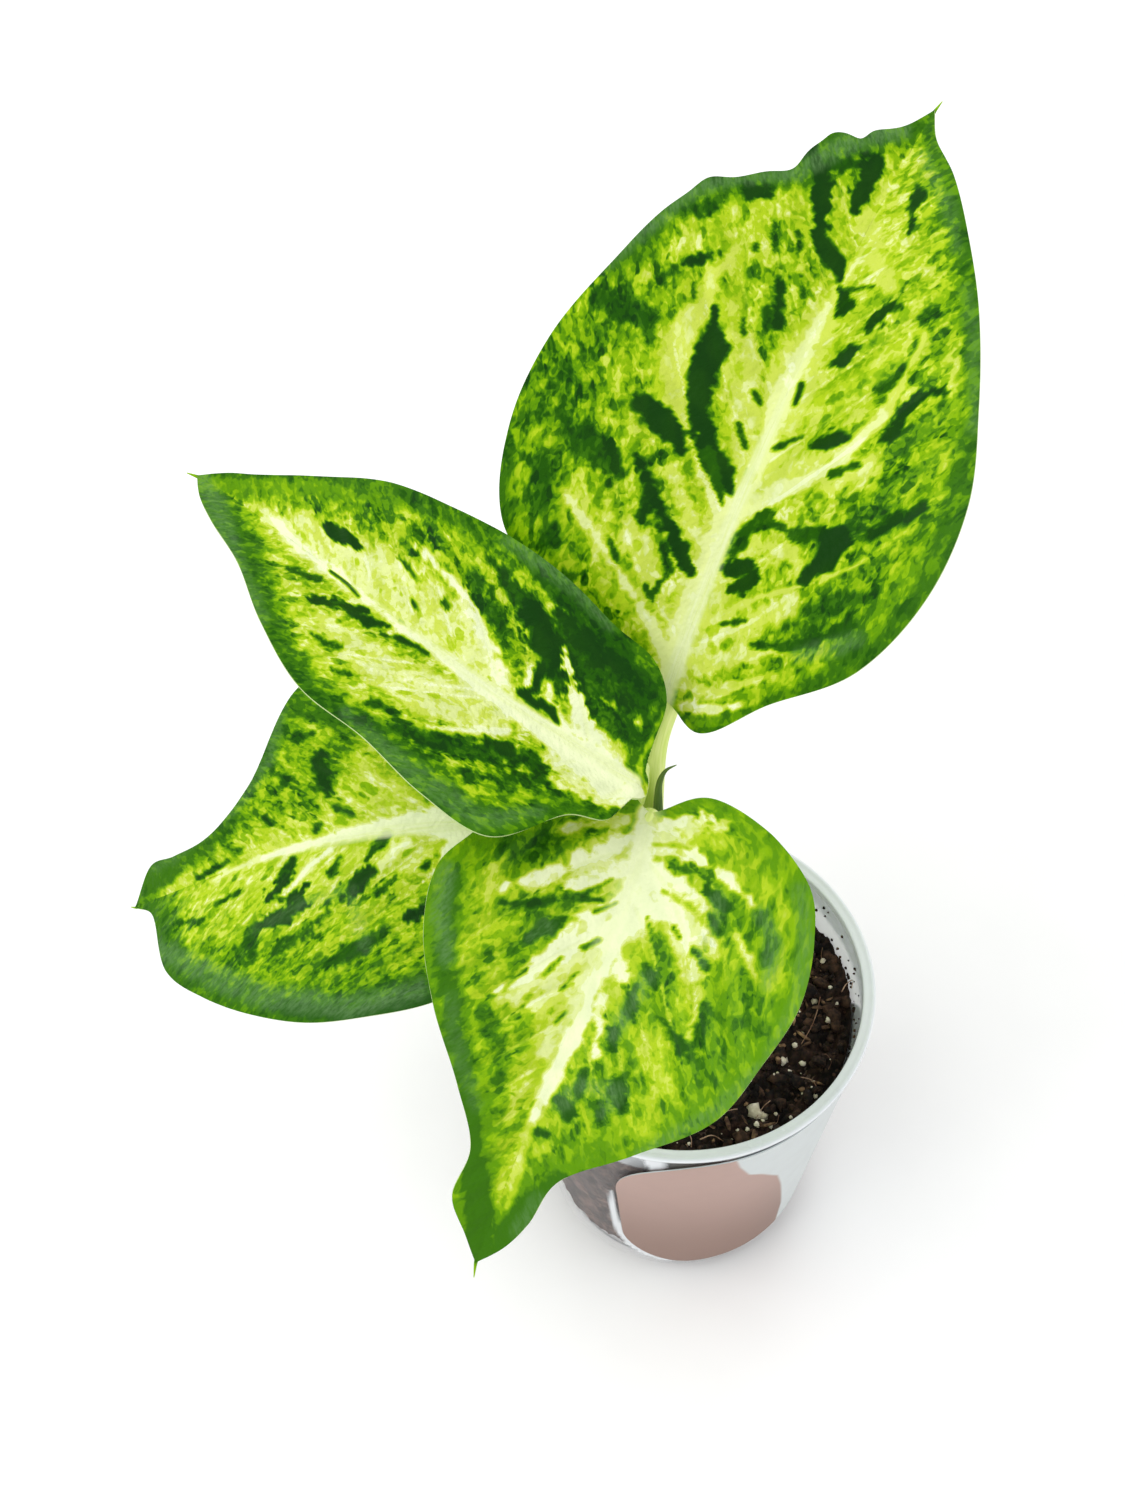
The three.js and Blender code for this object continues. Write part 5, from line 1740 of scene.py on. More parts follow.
FRONT_MARKS = brushed(
    # Broad fields.
    (LIME, 14, 0.0, (500, 880, 22), (475, 940, 24), (485, 1000, 22), (515, 1080, 20)),
    (LIME, 10, 0.2, (700, 835, 16), (745, 870, 20), (775, 920, 18), (770, 980, 16)),
    (LIME, 10, 0.1, (645, 1030, 22), (665, 1085, 20), (630, 1130, 14)),
    (GREEN, 7, 0.2, (515, 845, 14), (550, 838, 10)),
    (LEAFY, 12, 0.4, (720, 1000, 24), (740, 1060, 20), (690, 1120, 16)),
    (YELLOW, 8, 0.0, (610, 850, 20), (570, 870, 14), (530, 885, 8)),
    (YELLOW, 9, 0.0, (690, 900, 22), (700, 950, 20), (690, 1000, 12)),
    (YELLOW, 9, 0.1, (600, 990, 26), (560, 1000, 16)),
    (YELLOW, 12, 0.1, (640, 880, 34), (600, 950, 40), (570, 1010, 30), (545, 1070, 22)),
    (PALE, 7, 0.3, (606, 925, 22), (566, 958, 24), (532, 985, 15), (500, 1000, 6)),
    (PALE, 7, 0.3, (662, 895, 26), (686, 935, 20), (694, 970, 12)),
    (PALE, 6, 0.2, (600, 862, 18), (562, 872, 9), (520, 886, 4)),
    (PALE, 5, 0.2, (664, 838, 12), (700, 826, 8), (722, 828, 4)),
    (MILK, 7, 0.2, (642, 826, 6), (641, 870, 12), (640, 904, 17), (618, 934, 13), (594, 975, 9),
     (580, 1015, 10)),
    (MILK, 5, 0.3, (655, 890, 9), (672, 914, 10), (684, 934, 5)),
    # Midrib and its flames.
    (CREAM, 4, 0.8, (645, 815, 9), (641, 850, 12), (636, 885, 13), (624, 915, 11)),
    (CREAM, 3, 0.9, (627, 905, 9), (612, 932, 7), (601, 960, 6), (589, 992, 8)),
    (MILK, 3, 0.7, (589, 992, 6), (580, 1015, 10), (572, 1038, 10), (563, 1060, 6)),
    (CREAM, 3, 0.7, (563, 1060, 7), (552, 1082, 10), (538, 1104, 7), (529, 1128, 5)),
    (YELLOW, 3, 0.2, (529, 1128, 7), (521, 1154, 7), (516, 1180, 6), (508, 1204, 2)),
    (CREAM, 4, 0.5, (640, 885, 10), (664, 906, 14), (682, 926, 10), (694, 950, 5)),
    (CREAM, 3, 0.45, (620, 905, 10), (582, 936, 16), (550, 960, 13), (518, 980, 8), (489, 993, 3)),
    (PALE, 5, 0.2, (590, 960, 12), (560, 985, 14), (530, 1005, 8)),
    (PALE, 4, 0.3, (578, 1000, 10), (556, 1030, 9), (542, 1054, 6)),
    (YELLOW, 4, 0.1, (535, 1060, 8), (522, 1090, 7), (508, 1120, 4)),
    (CREAM, 3, 0.5, (630, 840, 8), (588, 856, 7), (543, 875, 4), (501, 889, 2)),
    (CREAM, 3, 0.4, (626, 868, 9), (596, 880, 7), (566, 888, 3)),
    (PALE, 3, 0.4, (625, 822, 6), (590, 824, 4), (560, 830, 2)),
    (CREAM, 3, 0.4, (655, 868, 6), (687, 890, 7), (703, 920, 6), (710, 945, 3)),
    (CREAM, 3, 0.4, (655, 850, 7), (694, 856, 6), (724, 876, 6), (744, 897, 4), (760, 911, 2)),
    (CREAM, 3, 0.4, (656, 830, 7), (694, 818, 5), (714, 822, 2)),
    (CREAM, 3, 0.5, (600, 1000, 7), (599, 1030, 5), (596, 1058, 3)),
    (CREAM, 2.5, 0.7, (619, 958, 4), (620, 970, 7), (624, 982, 3)),
    (PALE, 2, 0.7, (692, 945, 3), (698, 975, 3), (697, 1005, 3), (691, 1035, 2.5), (683, 1060, 1.5)),
    (PALE, 3, 0.3, (735, 935, 4), (748, 958, 4), (755, 975, 2)),
    (YELLOW, 4, 0.1, (645, 1045, 9), (652, 1070, 11), (662, 1092, 8)),
    (LIME, 3, 0.4, (619, 1056, 6), (618, 1066, 6)),
    (LIME, 2.5, 0.5, (590, 1112, 3), (591, 1130, 4.5)),
    (LIME, 2.5, 0.5, (614, 1104, 3), (615, 1124, 5)),
    (LIME, 4, 0.3, (626, 1134, 8), (650, 1132, 8)),
    (YELLOW, 3, 0.3, (536, 1152, 5), (548, 1148, 5)),
    # Dark flecks and blotches.
    (DARK, 2.5, 0.5, (502, 903, 3), (536, 903, 4), (573, 898, 4), (601, 901, 2)),
    (DARK, 2.5, 0.8, (563, 919, 3), (546, 929, 9), (528, 939, 7)),
    (GREEN, 2, 0.7, (583, 948, 3), (597, 941, 3)),
    (GREEN, 2, 0.6, (594, 912, 2.5), (615, 905, 2)),
    (GREEN, 1.5, 0.6, (668, 868, 1.5), (700, 874, 2.5), (716, 886, 1.5)),
    (DARK, 2.5, 0.7, (708, 890, 4), (720, 902, 7), (727, 908, 4)),
    (DARK, 3, 0.5, (710, 918, 4), (718, 932, 5)),
    (GREEN, 2, 0.6, (672, 926, 2), (680, 938, 2.5)),
    (DARK, 2.5, 0.75, (646, 964, 4), (655, 984, 5)),
    (DARK, 3, 0.6, (634, 988, 5), (630, 1014, 6)),
    (DARK, 3, 0.5, (697, 954, 5), (707, 968, 4)),
    (DARK, 2.5, 0.75, (613, 1030, 6), (613, 1050, 5)),
    (DARK, 2.5, 0.6, (664, 1022, 3), (674, 1036, 5), (684, 1054, 3)),
    (DARK, 3, 0.4, (706, 1004, 4), (700, 1030, 5), (692, 1060, 4)),
    (DARK, 2.5, 0.75, (584, 1070, 4), (579, 1096, 5)),
    (DARK, 2.5, 0.75, (558, 1099, 6), (568, 1113, 7)),
    (DARK, 2.5, 0.75, (616, 1084, 7), (623, 1108, 5)),
    (DARK, 2.5, 0.6, (603, 1103, 4), (600, 1124, 3)),
    (DARK, 2.5, 0.5, (539, 1131, 4), (550, 1134, 3)),
    (GREEN, 2, 0.5, (555, 1022, 3), (565, 1012, 2.5)),
    (LIME, 3, 0.3, (664, 892, 1.5), (694, 909, 3.2), (712, 932, 2)),
    (LIME, 2.5, 0.3, (654, 846, 1.2), (676, 846, 2.2), (690, 850, 1.5)),
    (GREEN, 2, 0.4, (543, 976, 2), (561, 958, 2)),
    (GREEN, 2, 0.4, (506, 985, 2.5), (526, 969, 2.2)),
    (GREEN, 2, 0.4, (612, 880, 1), (585, 893, 2.4), (560, 905, 1.6)),
    (GREEN, 2, 0.4, (577, 972, 1), (560, 990, 2.2)),
    (GREEN, 2, 0.4, (648, 918, 1.6), (652, 936, 2.2), (654, 952, 1.2)),
    (GREEN, 6, 0.4, (762, 915, 9), (772, 945, 10), (765, 965, 6)),
    (GREEN, 6, 0.4, (735, 1020, 7), (758, 1026, 9)),
    (GREEN, 6, 0.3, (484, 1010, 9), (498, 1050, 10), (500, 1090, 6)),
    (GREEN, 5, 0.9, (470, 1110, 8), (472, 1170, 14), (480, 1215, 16), (478, 1262, 12)),
    (GREEN, 5, 0.85, (560, 1188, 16), (530, 1212, 16), (502, 1245, 16)),
    (GREEN, 8, 0.75, (455, 875, 8), (444, 950, 11), (454, 1040, 12), (466, 1100, 8)),
)

FRONT = Leaf(
    node="leaf_front",
    shape=LeafShape(
        base=(-5.5, 0.5, 106),
        length=67.5,
        heading=-108,
        turn=(-21, 6),
        rise=(3, -15, -36, -49),
        roll=-8,
        twist=-9,
        fold=(20, 21),
        curl=(-15, -14),
        left_widths=(24, 27, 28, 26, 23, 14.5, 6.5, 5, 3),
        right_widths=(22.5, 21.5, 25, 23.5, 18.5, 11.5, 6.5, 6.5, 3),
        left_lobe=(4.5, 7.5),
        right_lobe=(4, 8.5),
        stalk=((-2.6, 2.8, 68), (-4, -0.6, 78), (-5.2, 0.1, 91), (-5.6, 1.4, 101)),
        groove=(0, 1, 0.2),
    ),
    paint=LeafPaint(
        inner=LEAFY,
        outer=LEAFY,
        band=(6.0, 6.0),
        seed=37.9,
        grain=(1.1, 0.9),
        mottle=0.58,
        # A faint painted sheen over the whole blade.
        haze=0.04,
        rib=0.3,
        lift=0.05,
        patches=FRONT_MARKS,
        # Painted sheen on the curled margins.
        sheen_marks=(
            (0.6, ((448, 870, 8), (440, 910, 9), (446, 960, 7))),
            (0.3, ((450, 1000, 7), (457, 1050, 9), (476, 1105, 6))),
            (0.42, ((762, 915, 8), (775, 950, 8), (768, 985, 6))),
            (0.38, ((800, 890, 7), (806, 940, 7), (798, 1000, 7), (770, 1060, 7), (720, 1110, 7),
                    (640, 1155, 5))),
            (0.42, ((546, 928, 8), (530, 938, 6))),
            (0.42, ((562, 1102, 9), (582, 1085, 6), (617, 1092, 9), (602, 1115, 5))),
            (0.42, ((613, 1035, 7), (632, 1002, 7), (651, 975, 6))),
            (0.42, ((718, 900, 8), (712, 928, 5), (700, 962, 5))),
            (0.42, ((540, 1200, 8), (520, 1230, 8))),
        ),
    ),
    hair=(474, 1277),
    lean=1.1,
)


# ---- Stem and shoot --------------------------------------------------------------


@dataclass
class Cane:
    """The short leaning cane with its leaf scars.

    Attributes:
        path: Points of its course.
        radii: Radii spread evenly along it.
        joints: Heights of the leaf scars.
        swell: How far a scar stands out.
        nick: How far the cane draws in below a scar.
    """

    path: tuple = ((0.5, -0.5, 30), (-0.3, 0.4, 50), (-2.4, 2.8, 70), (-4.8, 5.2, 88))
    radii: tuple = (4.4, 4.2, 3.4, 2.2)
    joints: tuple = (57, 64, 71, 78)
    swell: float = 0.35
    nick: float = 0.12

    def build(self, finish: bpy.types.Material) -> bpy.types.Object:
        """Builds the cane.

        Args:
            finish: Its material.

        Returns:
            The cane's object.
        """
        course = smooth_course(self.path, 160)
        share = np.linspace(0, 1, len(course))
        radii = np.interp(share, np.linspace(0, 1, len(self.radii)), self.radii)
        for joint in self.joints:
            away = course[:, 2] - joint
            radii = radii + self.swell * np.exp(-((away / 0.8) ** 2))
            radii = radii - self.nick * np.exp(-(((away + 1.3) / 0.5) ** 2))
        radii[-8:] *= np.linspace(1, 0.55, 8)
        points, faces, shares, angles = tube(course, radii, 56, (1, 0, 0))
        place = np.stack([angles * 4, points[:, 2], np.full(shares.size, 5.0)], 1)
        scars = sum(np.exp(-(((points[:, 2] - joint) / 0.5) ** 2)) for joint in self.joints)
        batch = Batch()
        batch.add(points, faces, vein_place=place, seam=np.clip(scars, 0, 1) * 0.9)
        piece = batch.build("stem_dressed", [finish])
        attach(piece, "root")
        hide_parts("stem")
        return piece


@dataclass
class Shoot:
    """The rolled tip of the next leaf.

    Attributes:
        path: Points of its course.
        radii: Radii spread evenly along it.
        length: Its length, to which its fibres are scaled.
    """

    path: tuple = (
        (-3.2, 3.5, 92), (-3.8, 4.6, 98), (-3.9, 6.1, 102.3),
        (-3.6, 7.2, 105), (-2.7, 7.9, 106.6), (-1.3, 8.1, 107.5),
    )
    radii: tuple = (0.95, 0.92, 0.82, 0.66, 0.42, 0.07)
    length: float = 17.0

    def build(self, finish: bpy.types.Material) -> bpy.types.Object:
        """Builds the shoot.

        Args:
            finish: Its material.

        Returns:
            The shoot's object.
        """
        course = smooth_course(self.path, 70)
        share = np.linspace(0, 1, len(course))
        radii = np.interp(share, np.linspace(0, 1, len(self.radii)), self.radii)

        def past_seam(along: np.ndarray, angle: np.ndarray) -> np.ndarray:
            """Returns the angle from the seam, which winds round the shoot."""
            return np.mod(angle - 1.2 - 1.6 * along, 2 * np.pi)

        def section(along: np.ndarray, angle: np.ndarray) -> np.ndarray:
            """Cuts the seam where the rolled leaf overlaps itself."""
            return 1 + 0.16 * np.exp(-past_seam(along, angle) / 0.5) - 0.05

        points, faces, shares, angles = tube(course, radii, 36, (1, 0, 0), section)
        place = np.stack([angles * 0.8, shares * self.length, np.full(shares.size, 2.0)], 1)
        batch = Batch()
        batch.add(points, faces, vein_place=place, seam=np.exp(-past_seam(shares, angles) / 0.35) * 0.8)
        piece = batch.build("young_shoot_dressed", [finish])
        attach(piece, "root")
        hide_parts("young_shoot")
        return piece


# ---- Pot, label and potting mix --------------------------------------------------


@dataclass(frozen=True)
class PotShape:
    """Sizes of the tapered pot, the same as the solid's.

    Attributes:
        height: Height of the rim's top.
        rim_radius: Outer radius of the collar.
        mouth_radius: Inner radius of the mouth.
        wall: Thickness of the wall.
        base_radius: Outer radius of the wall's lower end.
        collar: Height of the collar.
        floor: Thickness of the floor.
        foot_radius: Radius of the foot.
        foot_height: Height of the foot.
    """

    height: float = 60.0
    rim_radius: float = 30.0
    mouth_radius: float = 28.1
    wall: float = 0.8
    base_radius: float = 21.7
    collar: float = 1.2
    floor: float = 1.6
    foot_radius: float = 20.0
    foot_height: float = 1.2

    def outer(self, z: Union[float, np.ndarray]) -> Union[float, np.ndarray]:
        """Works out the wall's outer radius.

        Args:
            z: Height or heights.

        Returns:
            The radius at each height.
        """
        top = self.height - self.collar
        share = (z - self.foot_height) / (top - self.foot_height)
        return self.base_radius + (self.mouth_radius + self.wall - self.base_radius) * share

    def inner(self, z: Union[float, np.ndarray]) -> Union[float, np.ndarray]:
        """Returns the wall's inner radius at a height."""
        return self.outer(z) - self.wall


POT = PotShape()
# Round the wall, the millimetres that a degree of azimuth spans.
MM_PER_DEGREE = 0.44


@dataclass(frozen=True)
class PotFinish:
    """Thin clear plastic, milkier where it is thick.

    Attributes:
        name: The material's name.
        tint: Colour of the milkiness.
        haze: How much of the view the haze takes face on.
        edge: How much more it takes where the surface turns away.
        roughness: Roughness of the moulded skin.
        cloud: Colour of the clouds where the plastic flowed.
    """

    name: str
    tint: tuple
    haze: float
    edge: float
    roughness: float = 0.12
    cloud: tuple = srgb(190, 200, 204)

    def material(self) -> bpy.types.Material:
        """Makes the plastic.

        Returns:
            The material.
        """
        material, desk, shader = new_material(self.name)
        place = desk.position()
        flow = desk.noise(desk.scaled(place, (1.0, 1.0, 0.35)), 90, 3)
        fine = desk.noise(desk.scaled(place, (1.0, 1.0, 0.12)), 900, 2)
        colour = desk.mix(desk.remap(flow, 0.35, 0.7, 0.0, 0.3), self.tint, self.cloud)
        desk.feed(shader.inputs["Base Color"], colour)
        rough = desk.remap(flow, 0.3, 0.7, self.roughness - 0.04, self.roughness + 0.08)
        desk.feed(shader.inputs["Roughness"], rough)
        desk.feed(shader.inputs["Normal"], desk.bump(desk.math("MULTIPLY_ADD", fine, 0.05, flow), 0.1, 0.2))
        rim_light = desk.node("ShaderNodeFresnel")
        rim_light.inputs["IOR"].default_value = 1.35
        front = desk.math("SUBTRACT", 1.0, desk.node("ShaderNodeNewGeometry").outputs["Backfacing"])
        veil = desk.math("MULTIPLY", rim_light.outputs[0], front)
        veil = desk.math("MULTIPLY_ADD", veil, self.edge, self.haze)
        veil = desk.math("MULTIPLY_ADD", desk.remap(flow, 0.4, 0.7), 0.35 * self.haze, veil)
        # The marks whiten the wall: painted reflections, and painted light under the collar.
        veil = desk.math("MULTIPLY_ADD", desk.attribute("milk"), 0.85, veil)
        desk.feed(shader.inputs["Alpha"], veil)
        return material


@dataclass
class Pot:
    """The nursery pot, turned in one piece.

    Attributes:
        shape: Its sizes.
        sides: How finely it is turned.
        marks: Milky marks, each a stroke of azimuth, height and half width. The first two are painted
            reflections of bright light on the wall; the third is a milky band under the collar, whitened
            also to lift the collar's shadow.
        marked: Lowest and highest place of a mark.
        damp: Lowest and highest place of the veil on the wall's inner face.
        veil: How milky that veil is.
    """

    shape: PotShape = POT
    sides: int = 260
    marks: tuple = (
        # A painted reflection: the crescent of bright light low on the left of the wall.
        ((-118, 35, 0.15), (-118.3, 28, 0.5), (-118.2, 20, 0.8), (-116.5, 13, 1.0), (-112.5, 8.5, 1.2),
         (-105, 5.4, 1.2), (-96, 4, 0.9)),
        # A painted reflection: the small triangle of light under the rim.
        ((-102, 57, 1.6), (-101, 53, 1.2), (-100.5, 48, 0.3)),
        # A milky band under the collar, partly painted light that lifts the collar's shadow.
        ((-84, 57.5, 0.6), (-76, 57, 2.6), (-40, 56.5, 3.2), (10, 56.5, 3.2), (50, 57, 2.4)),
    )
    marked: tuple = (2.0, 58.3)
    damp: tuple = (49.0, 59.0)
    veil: float = 0.6

    def profile(self) -> list[tuple[float, float]]:
        """Draws the outline that is turned.

        Returns:
            Radius and height of its points, from the foot round to the floor.
        """
        s = self.shape
        foot, base, rim, mouth = s.foot_radius, s.base_radius, s.rim_radius, s.mouth_radius
        sill, top = s.foot_height, s.height
        under, deck = top - s.collar, sill + s.floor
        corner = s.inner(deck + 0.9)
        outside = sill + (under - sill) * np.linspace(0.1, 0.9, 9)
        inside = deck + (under - deck) * np.linspace(0.85, 0.1, 6)
        return [
            (0.0, 0.35), (foot - 2.4, 0.35), (foot - 2.0, 0.0), (foot - 0.3, 0.0),
            (foot, 0.3), (foot, sill - 0.1), (foot + 0.15, sill),
            (base - 0.5, sill), (base - 0.12, sill + 0.16), (base, sill + 0.5),
            *((s.outer(z), z) for z in outside),
            (s.outer(under - 2.6), under - 2.6), (s.outer(under - 2.4) + 0.12, under - 2.3),
            (s.outer(under) + 0.1, under - 0.25), (s.outer(under) + 0.35, under),
            (rim - 0.25, under), (rim - 0.07, under + 0.07), (rim, under + 0.25),
            (rim, top - 0.32), (rim - 0.09, top - 0.09), (rim - 0.3, top), (rim - 0.62, top),
            (rim - 0.8, top - 0.16), (mouth + 0.7, top - 0.2), (mouth + 0.28, top - 0.24),
            (mouth + 0.08, top - 0.34), (mouth, top - 0.6),
            (mouth, under - 0.4), (s.inner(under - 1.6), under - 1.6),
            *((s.inner(z), z) for z in inside),
            (corner, deck + 0.9), (corner - 0.25, deck + 0.25), (corner - 0.8, deck), (0.0, deck),
        ]

    def milk(self, points: np.ndarray) -> np.ndarray:
        """Works out how milky the marks make the wall, the painted reflections among them.

        Args:
            points: Places on the wall.

        Returns:
            One value a place, 0 where the plastic is clear.
        """
        x, y, z = points.T
        places = np.stack([np.degrees(np.arctan2(y, x)) * MM_PER_DEGREE, z], 1)
        outside = np.hypot(x, y) > self.shape.outer(z) - 0.3
        total = np.zeros(len(points))
        for mark in self.marks:
            stroke = [(azimuth * MM_PER_DEGREE, level, half) for azimuth, level, half in mark]
            total = np.maximum(total, 1 - ease(stroke_gap(places, stroke), -0.25, 0.35))
        marked = outside & (z > self.marked[0]) & (z < self.marked[1])
        damp = ~outside & (z > self.damp[0]) & (z < self.damp[1])
        return total * marked + self.veil * damp

    def build(self, wall: bpy.types.Material, rim: bpy.types.Material) -> bpy.types.Object:
        """Builds the pot.

        Args:
            wall: The plastic of the thin wall.
            rim: The plastic of the thick rim.

        Returns:
            The pot's object.
        """
        outline = np.array(self.profile())
        steps = [outline[:1]]
        for start, end in zip(outline[:-1], outline[1:]):
            count = max(1, int(np.ceil(np.linalg.norm(end - start) / 1.2)))
            steps.append(start + (end - start) * np.linspace(0, 1, count + 1)[1:, None])
        outline = np.vstack(steps)
        angle = np.linspace(0, 2 * np.pi, self.sides, endpoint=False)
        ring = np.stack([np.cos(angle), np.sin(angle)], 1)
        body = outline[1:-1]
        points = np.concatenate(
            [np.hstack([radius * ring, np.full((self.sides, 1), z)]) for radius, z in body]
            + [[[0, 0, outline[0][1]]], [[0, 0, outline[-1][1]]]]
        )
        faces = stack_faces(len(body), self.sides)
        batch = Batch()
        batch.add(points, faces, milk=self.milk(points))
        band = self.shape.height - self.shape.collar - 0.6
        batch.marks = [int(points[face[0], 2] > band and points[face[-1], 2] > band) for face in faces]
        piece = batch.build("pot_dressed", [wall, rim])
        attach(piece, "root")
        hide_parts("pot")
        return piece


@dataclass(frozen=True)
class LabelFinish:
    """A bare sticker of pale grey, with a painted reflection of a hand's pink over its left part.

    Attributes:
        reflected_pink: The pink of the painted reflection at its top.
        shade: The darker pink at its foot, painted shade.
        grey: The grey at its right.
        fibre: The faint fibres in it.
        roughness: Roughness of its face.
    """

    reflected_pink: tuple = srgb(176, 146, 136)
    shade: tuple = srgb(140, 110, 98)
    grey: tuple = srgb(200, 206, 206)
    fibre: tuple = srgb(120, 104, 98)
    roughness: float = 0.45

    def material(self) -> bpy.types.Material:
        """Makes the sticker's film.

        Returns:
            The material.
        """
        material, desk, shader = new_material("sticker_film")
        fibre = desk.noise(desk.position(), 260, 3)
        # Darker towards the foot: painted shade.
        # Painted reflection: a hand's pink mirrored on the sticker, turning to its own grey on the right.
        reflected_pink = desk.mix(desk.remap(desk.attribute("high"), 0.1, 0.9), self.shade, self.reflected_pink)
        colour = desk.mix(desk.remap(desk.attribute("pale"), 0.35, 0.65), reflected_pink, self.grey)
        colour = desk.mix(desk.remap(fibre, 0.35, 0.75, 0.0, 0.05), colour, self.fibre)
        desk.feed(shader.inputs["Base Color"], colour)
        shader.inputs["Roughness"].default_value = self.roughness
        shader.inputs["Specular IOR Level"].default_value = 0.3
        return material


@dataclass
class Label:
    """The bare sticker round the pot's front and right.

    Attributes:
        bottom: Height of its lower edge.
        top: Height of its upper edge.
        left: Azimuth of its left end.
        right: Azimuth of its right end.
        top_corner: Radius of its upper corners.
        bottom_corner: Radius of its lower corners.
        thickness: How thick it is.
        gap: Space between it and the wall.
        fade: Azimuth and height of points on the line where the painted reflection's pink turns to grey.
        blur: Degrees over which it turns.
        rows: Rows of faces up it.
        columns: Faces in a row.
    """

    bottom: float = 5.0
    top: float = 55.5
    left: float = -115.0
    right: float = 10.0
    top_corner: float = 17.0
    bottom_corner: float = 12.0
    thickness: float = 0.22
    gap: float = 0.3
    fade: tuple = ((-77, 56), (-75, 51.7), (-71, 46.5), (-66, 44), (-58, 38), (-54, 31), (-47, 16), (-44, 4))
    blur: float = 5.0
    rows: int = 90
    columns: int = 110

    def inset(self, z: np.ndarray) -> np.ndarray:
        """Works out how far the rounded ends draw in.

        Args:
            z: Heights.

        Returns:
            The distance at each height.
        """
        above = np.clip(z - (self.top - self.top_corner), 0, None)
        below = np.clip(self.bottom + self.bottom_corner - z, 0, None)
        top = self.top_corner - np.sqrt(np.clip(self.top_corner**2 - above**2, 0, None))
        low = self.bottom_corner - np.sqrt(np.clip(self.bottom_corner**2 - below**2, 0, None))
        return np.where(above > 0, top, low)

    def build(self, finish: bpy.types.Material) -> bpy.types.Object:
        """Builds the sticker.

        Args:
            finish: Its material.

        Returns:
            The sticker's object.
        """
        rows, columns = self.rows, self.columns
        share = 0.5 - 0.5 * np.cos(np.pi * np.arange(rows + 1) / rows)
        z = self.bottom + (self.top - self.bottom) * share
        layers = []
        for out in (self.gap + self.thickness, self.gap):
            radius = POT.outer(z) + out
            left = np.radians(self.left) + self.inset(z) / radius
            right = np.radians(self.right) - self.inset(z) / radius
            azimuth = left[:, None] + (right - left)[:, None] * np.linspace(0, 1, columns + 1)
            across, away = radius[:, None] * np.cos(azimuth), radius[:, None] * np.sin(azimuth)
            height = z[:, None] + 0 * azimuth
            layers.append(np.stack([across, away, height], -1).reshape(-1, 3))
        height = layers[0][:, 2]
        turn = np.degrees(np.arctan2(layers[0][:, 1], layers[0][:, 0]))
        line = np.array(self.fade)[::-1]
        pale = np.clip(0.5 + (turn - np.interp(height, line[:, 1], line[:, 0])) / self.blur, 0, 1)
        high = (height - self.bottom) / (self.top - self.bottom)
        batch = Batch()
        for points, flip in zip(layers, (False, True)):
            batch.add(points, grid_faces(rows + 1, columns + 1, flip=flip), pale=pale, high=high)
        width = columns + 1
        last = rows * width
        loop = [*range(width), *range(width + columns, last, width)]
        loop += [*range(last + columns, last - 1, -1), *range(last - width, 0, -width)]
        size = len(loop)
        rim = [[(k + 1) % size, k, k + size, (k + 1) % size + size] for k in range(size)]
        batch.add(np.vstack([points[loop] for points in layers]), rim, pale=1.0, high=1.0)
        piece = batch.build("label_dressed", [finish])
        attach(piece, "root")
        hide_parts("label")
        return piece


class Crumb(Enum):
    """What a loose bit of the mix is made of."""

    PEAT = "peat"
    BARK = "bark"
    PERLITE = "perlite"


@dataclass(frozen=True)
class CrumbFinish:
    """The look of one kind of bit.

    Attributes:
        dark: Colour of its hollows, darker as painted shade over its own mottling.
        light: Colour of its tops, lighter as painted light over its own mottling.
        roughness: Roughness of its skin.
        scale: How fine its grain is.
    """

    dark: tuple
    light: tuple
    roughness: float
    scale: float

    def material(self, name: str, group: EffectGroup) -> bpy.types.Material:
        """Makes the material.

        Args:
            name: The material's name.
            group: The shared crumb effect.

        Returns:
            The material.
        """
        material, desk, shader = new_material(name)
        effect = group.use(desk, Scale=self.scale, Dark=self.dark, Light=self.light)
        desk.feed(shader.inputs["Base Color"], effect["Color"])
        shader.inputs["Roughness"].default_value = self.roughness
        shader.inputs["Specular IOR Level"].default_value = 0.3
        desk.feed(shader.inputs["Normal"], desk.bump(effect["Height"], 0.8, 0.35))
        return material


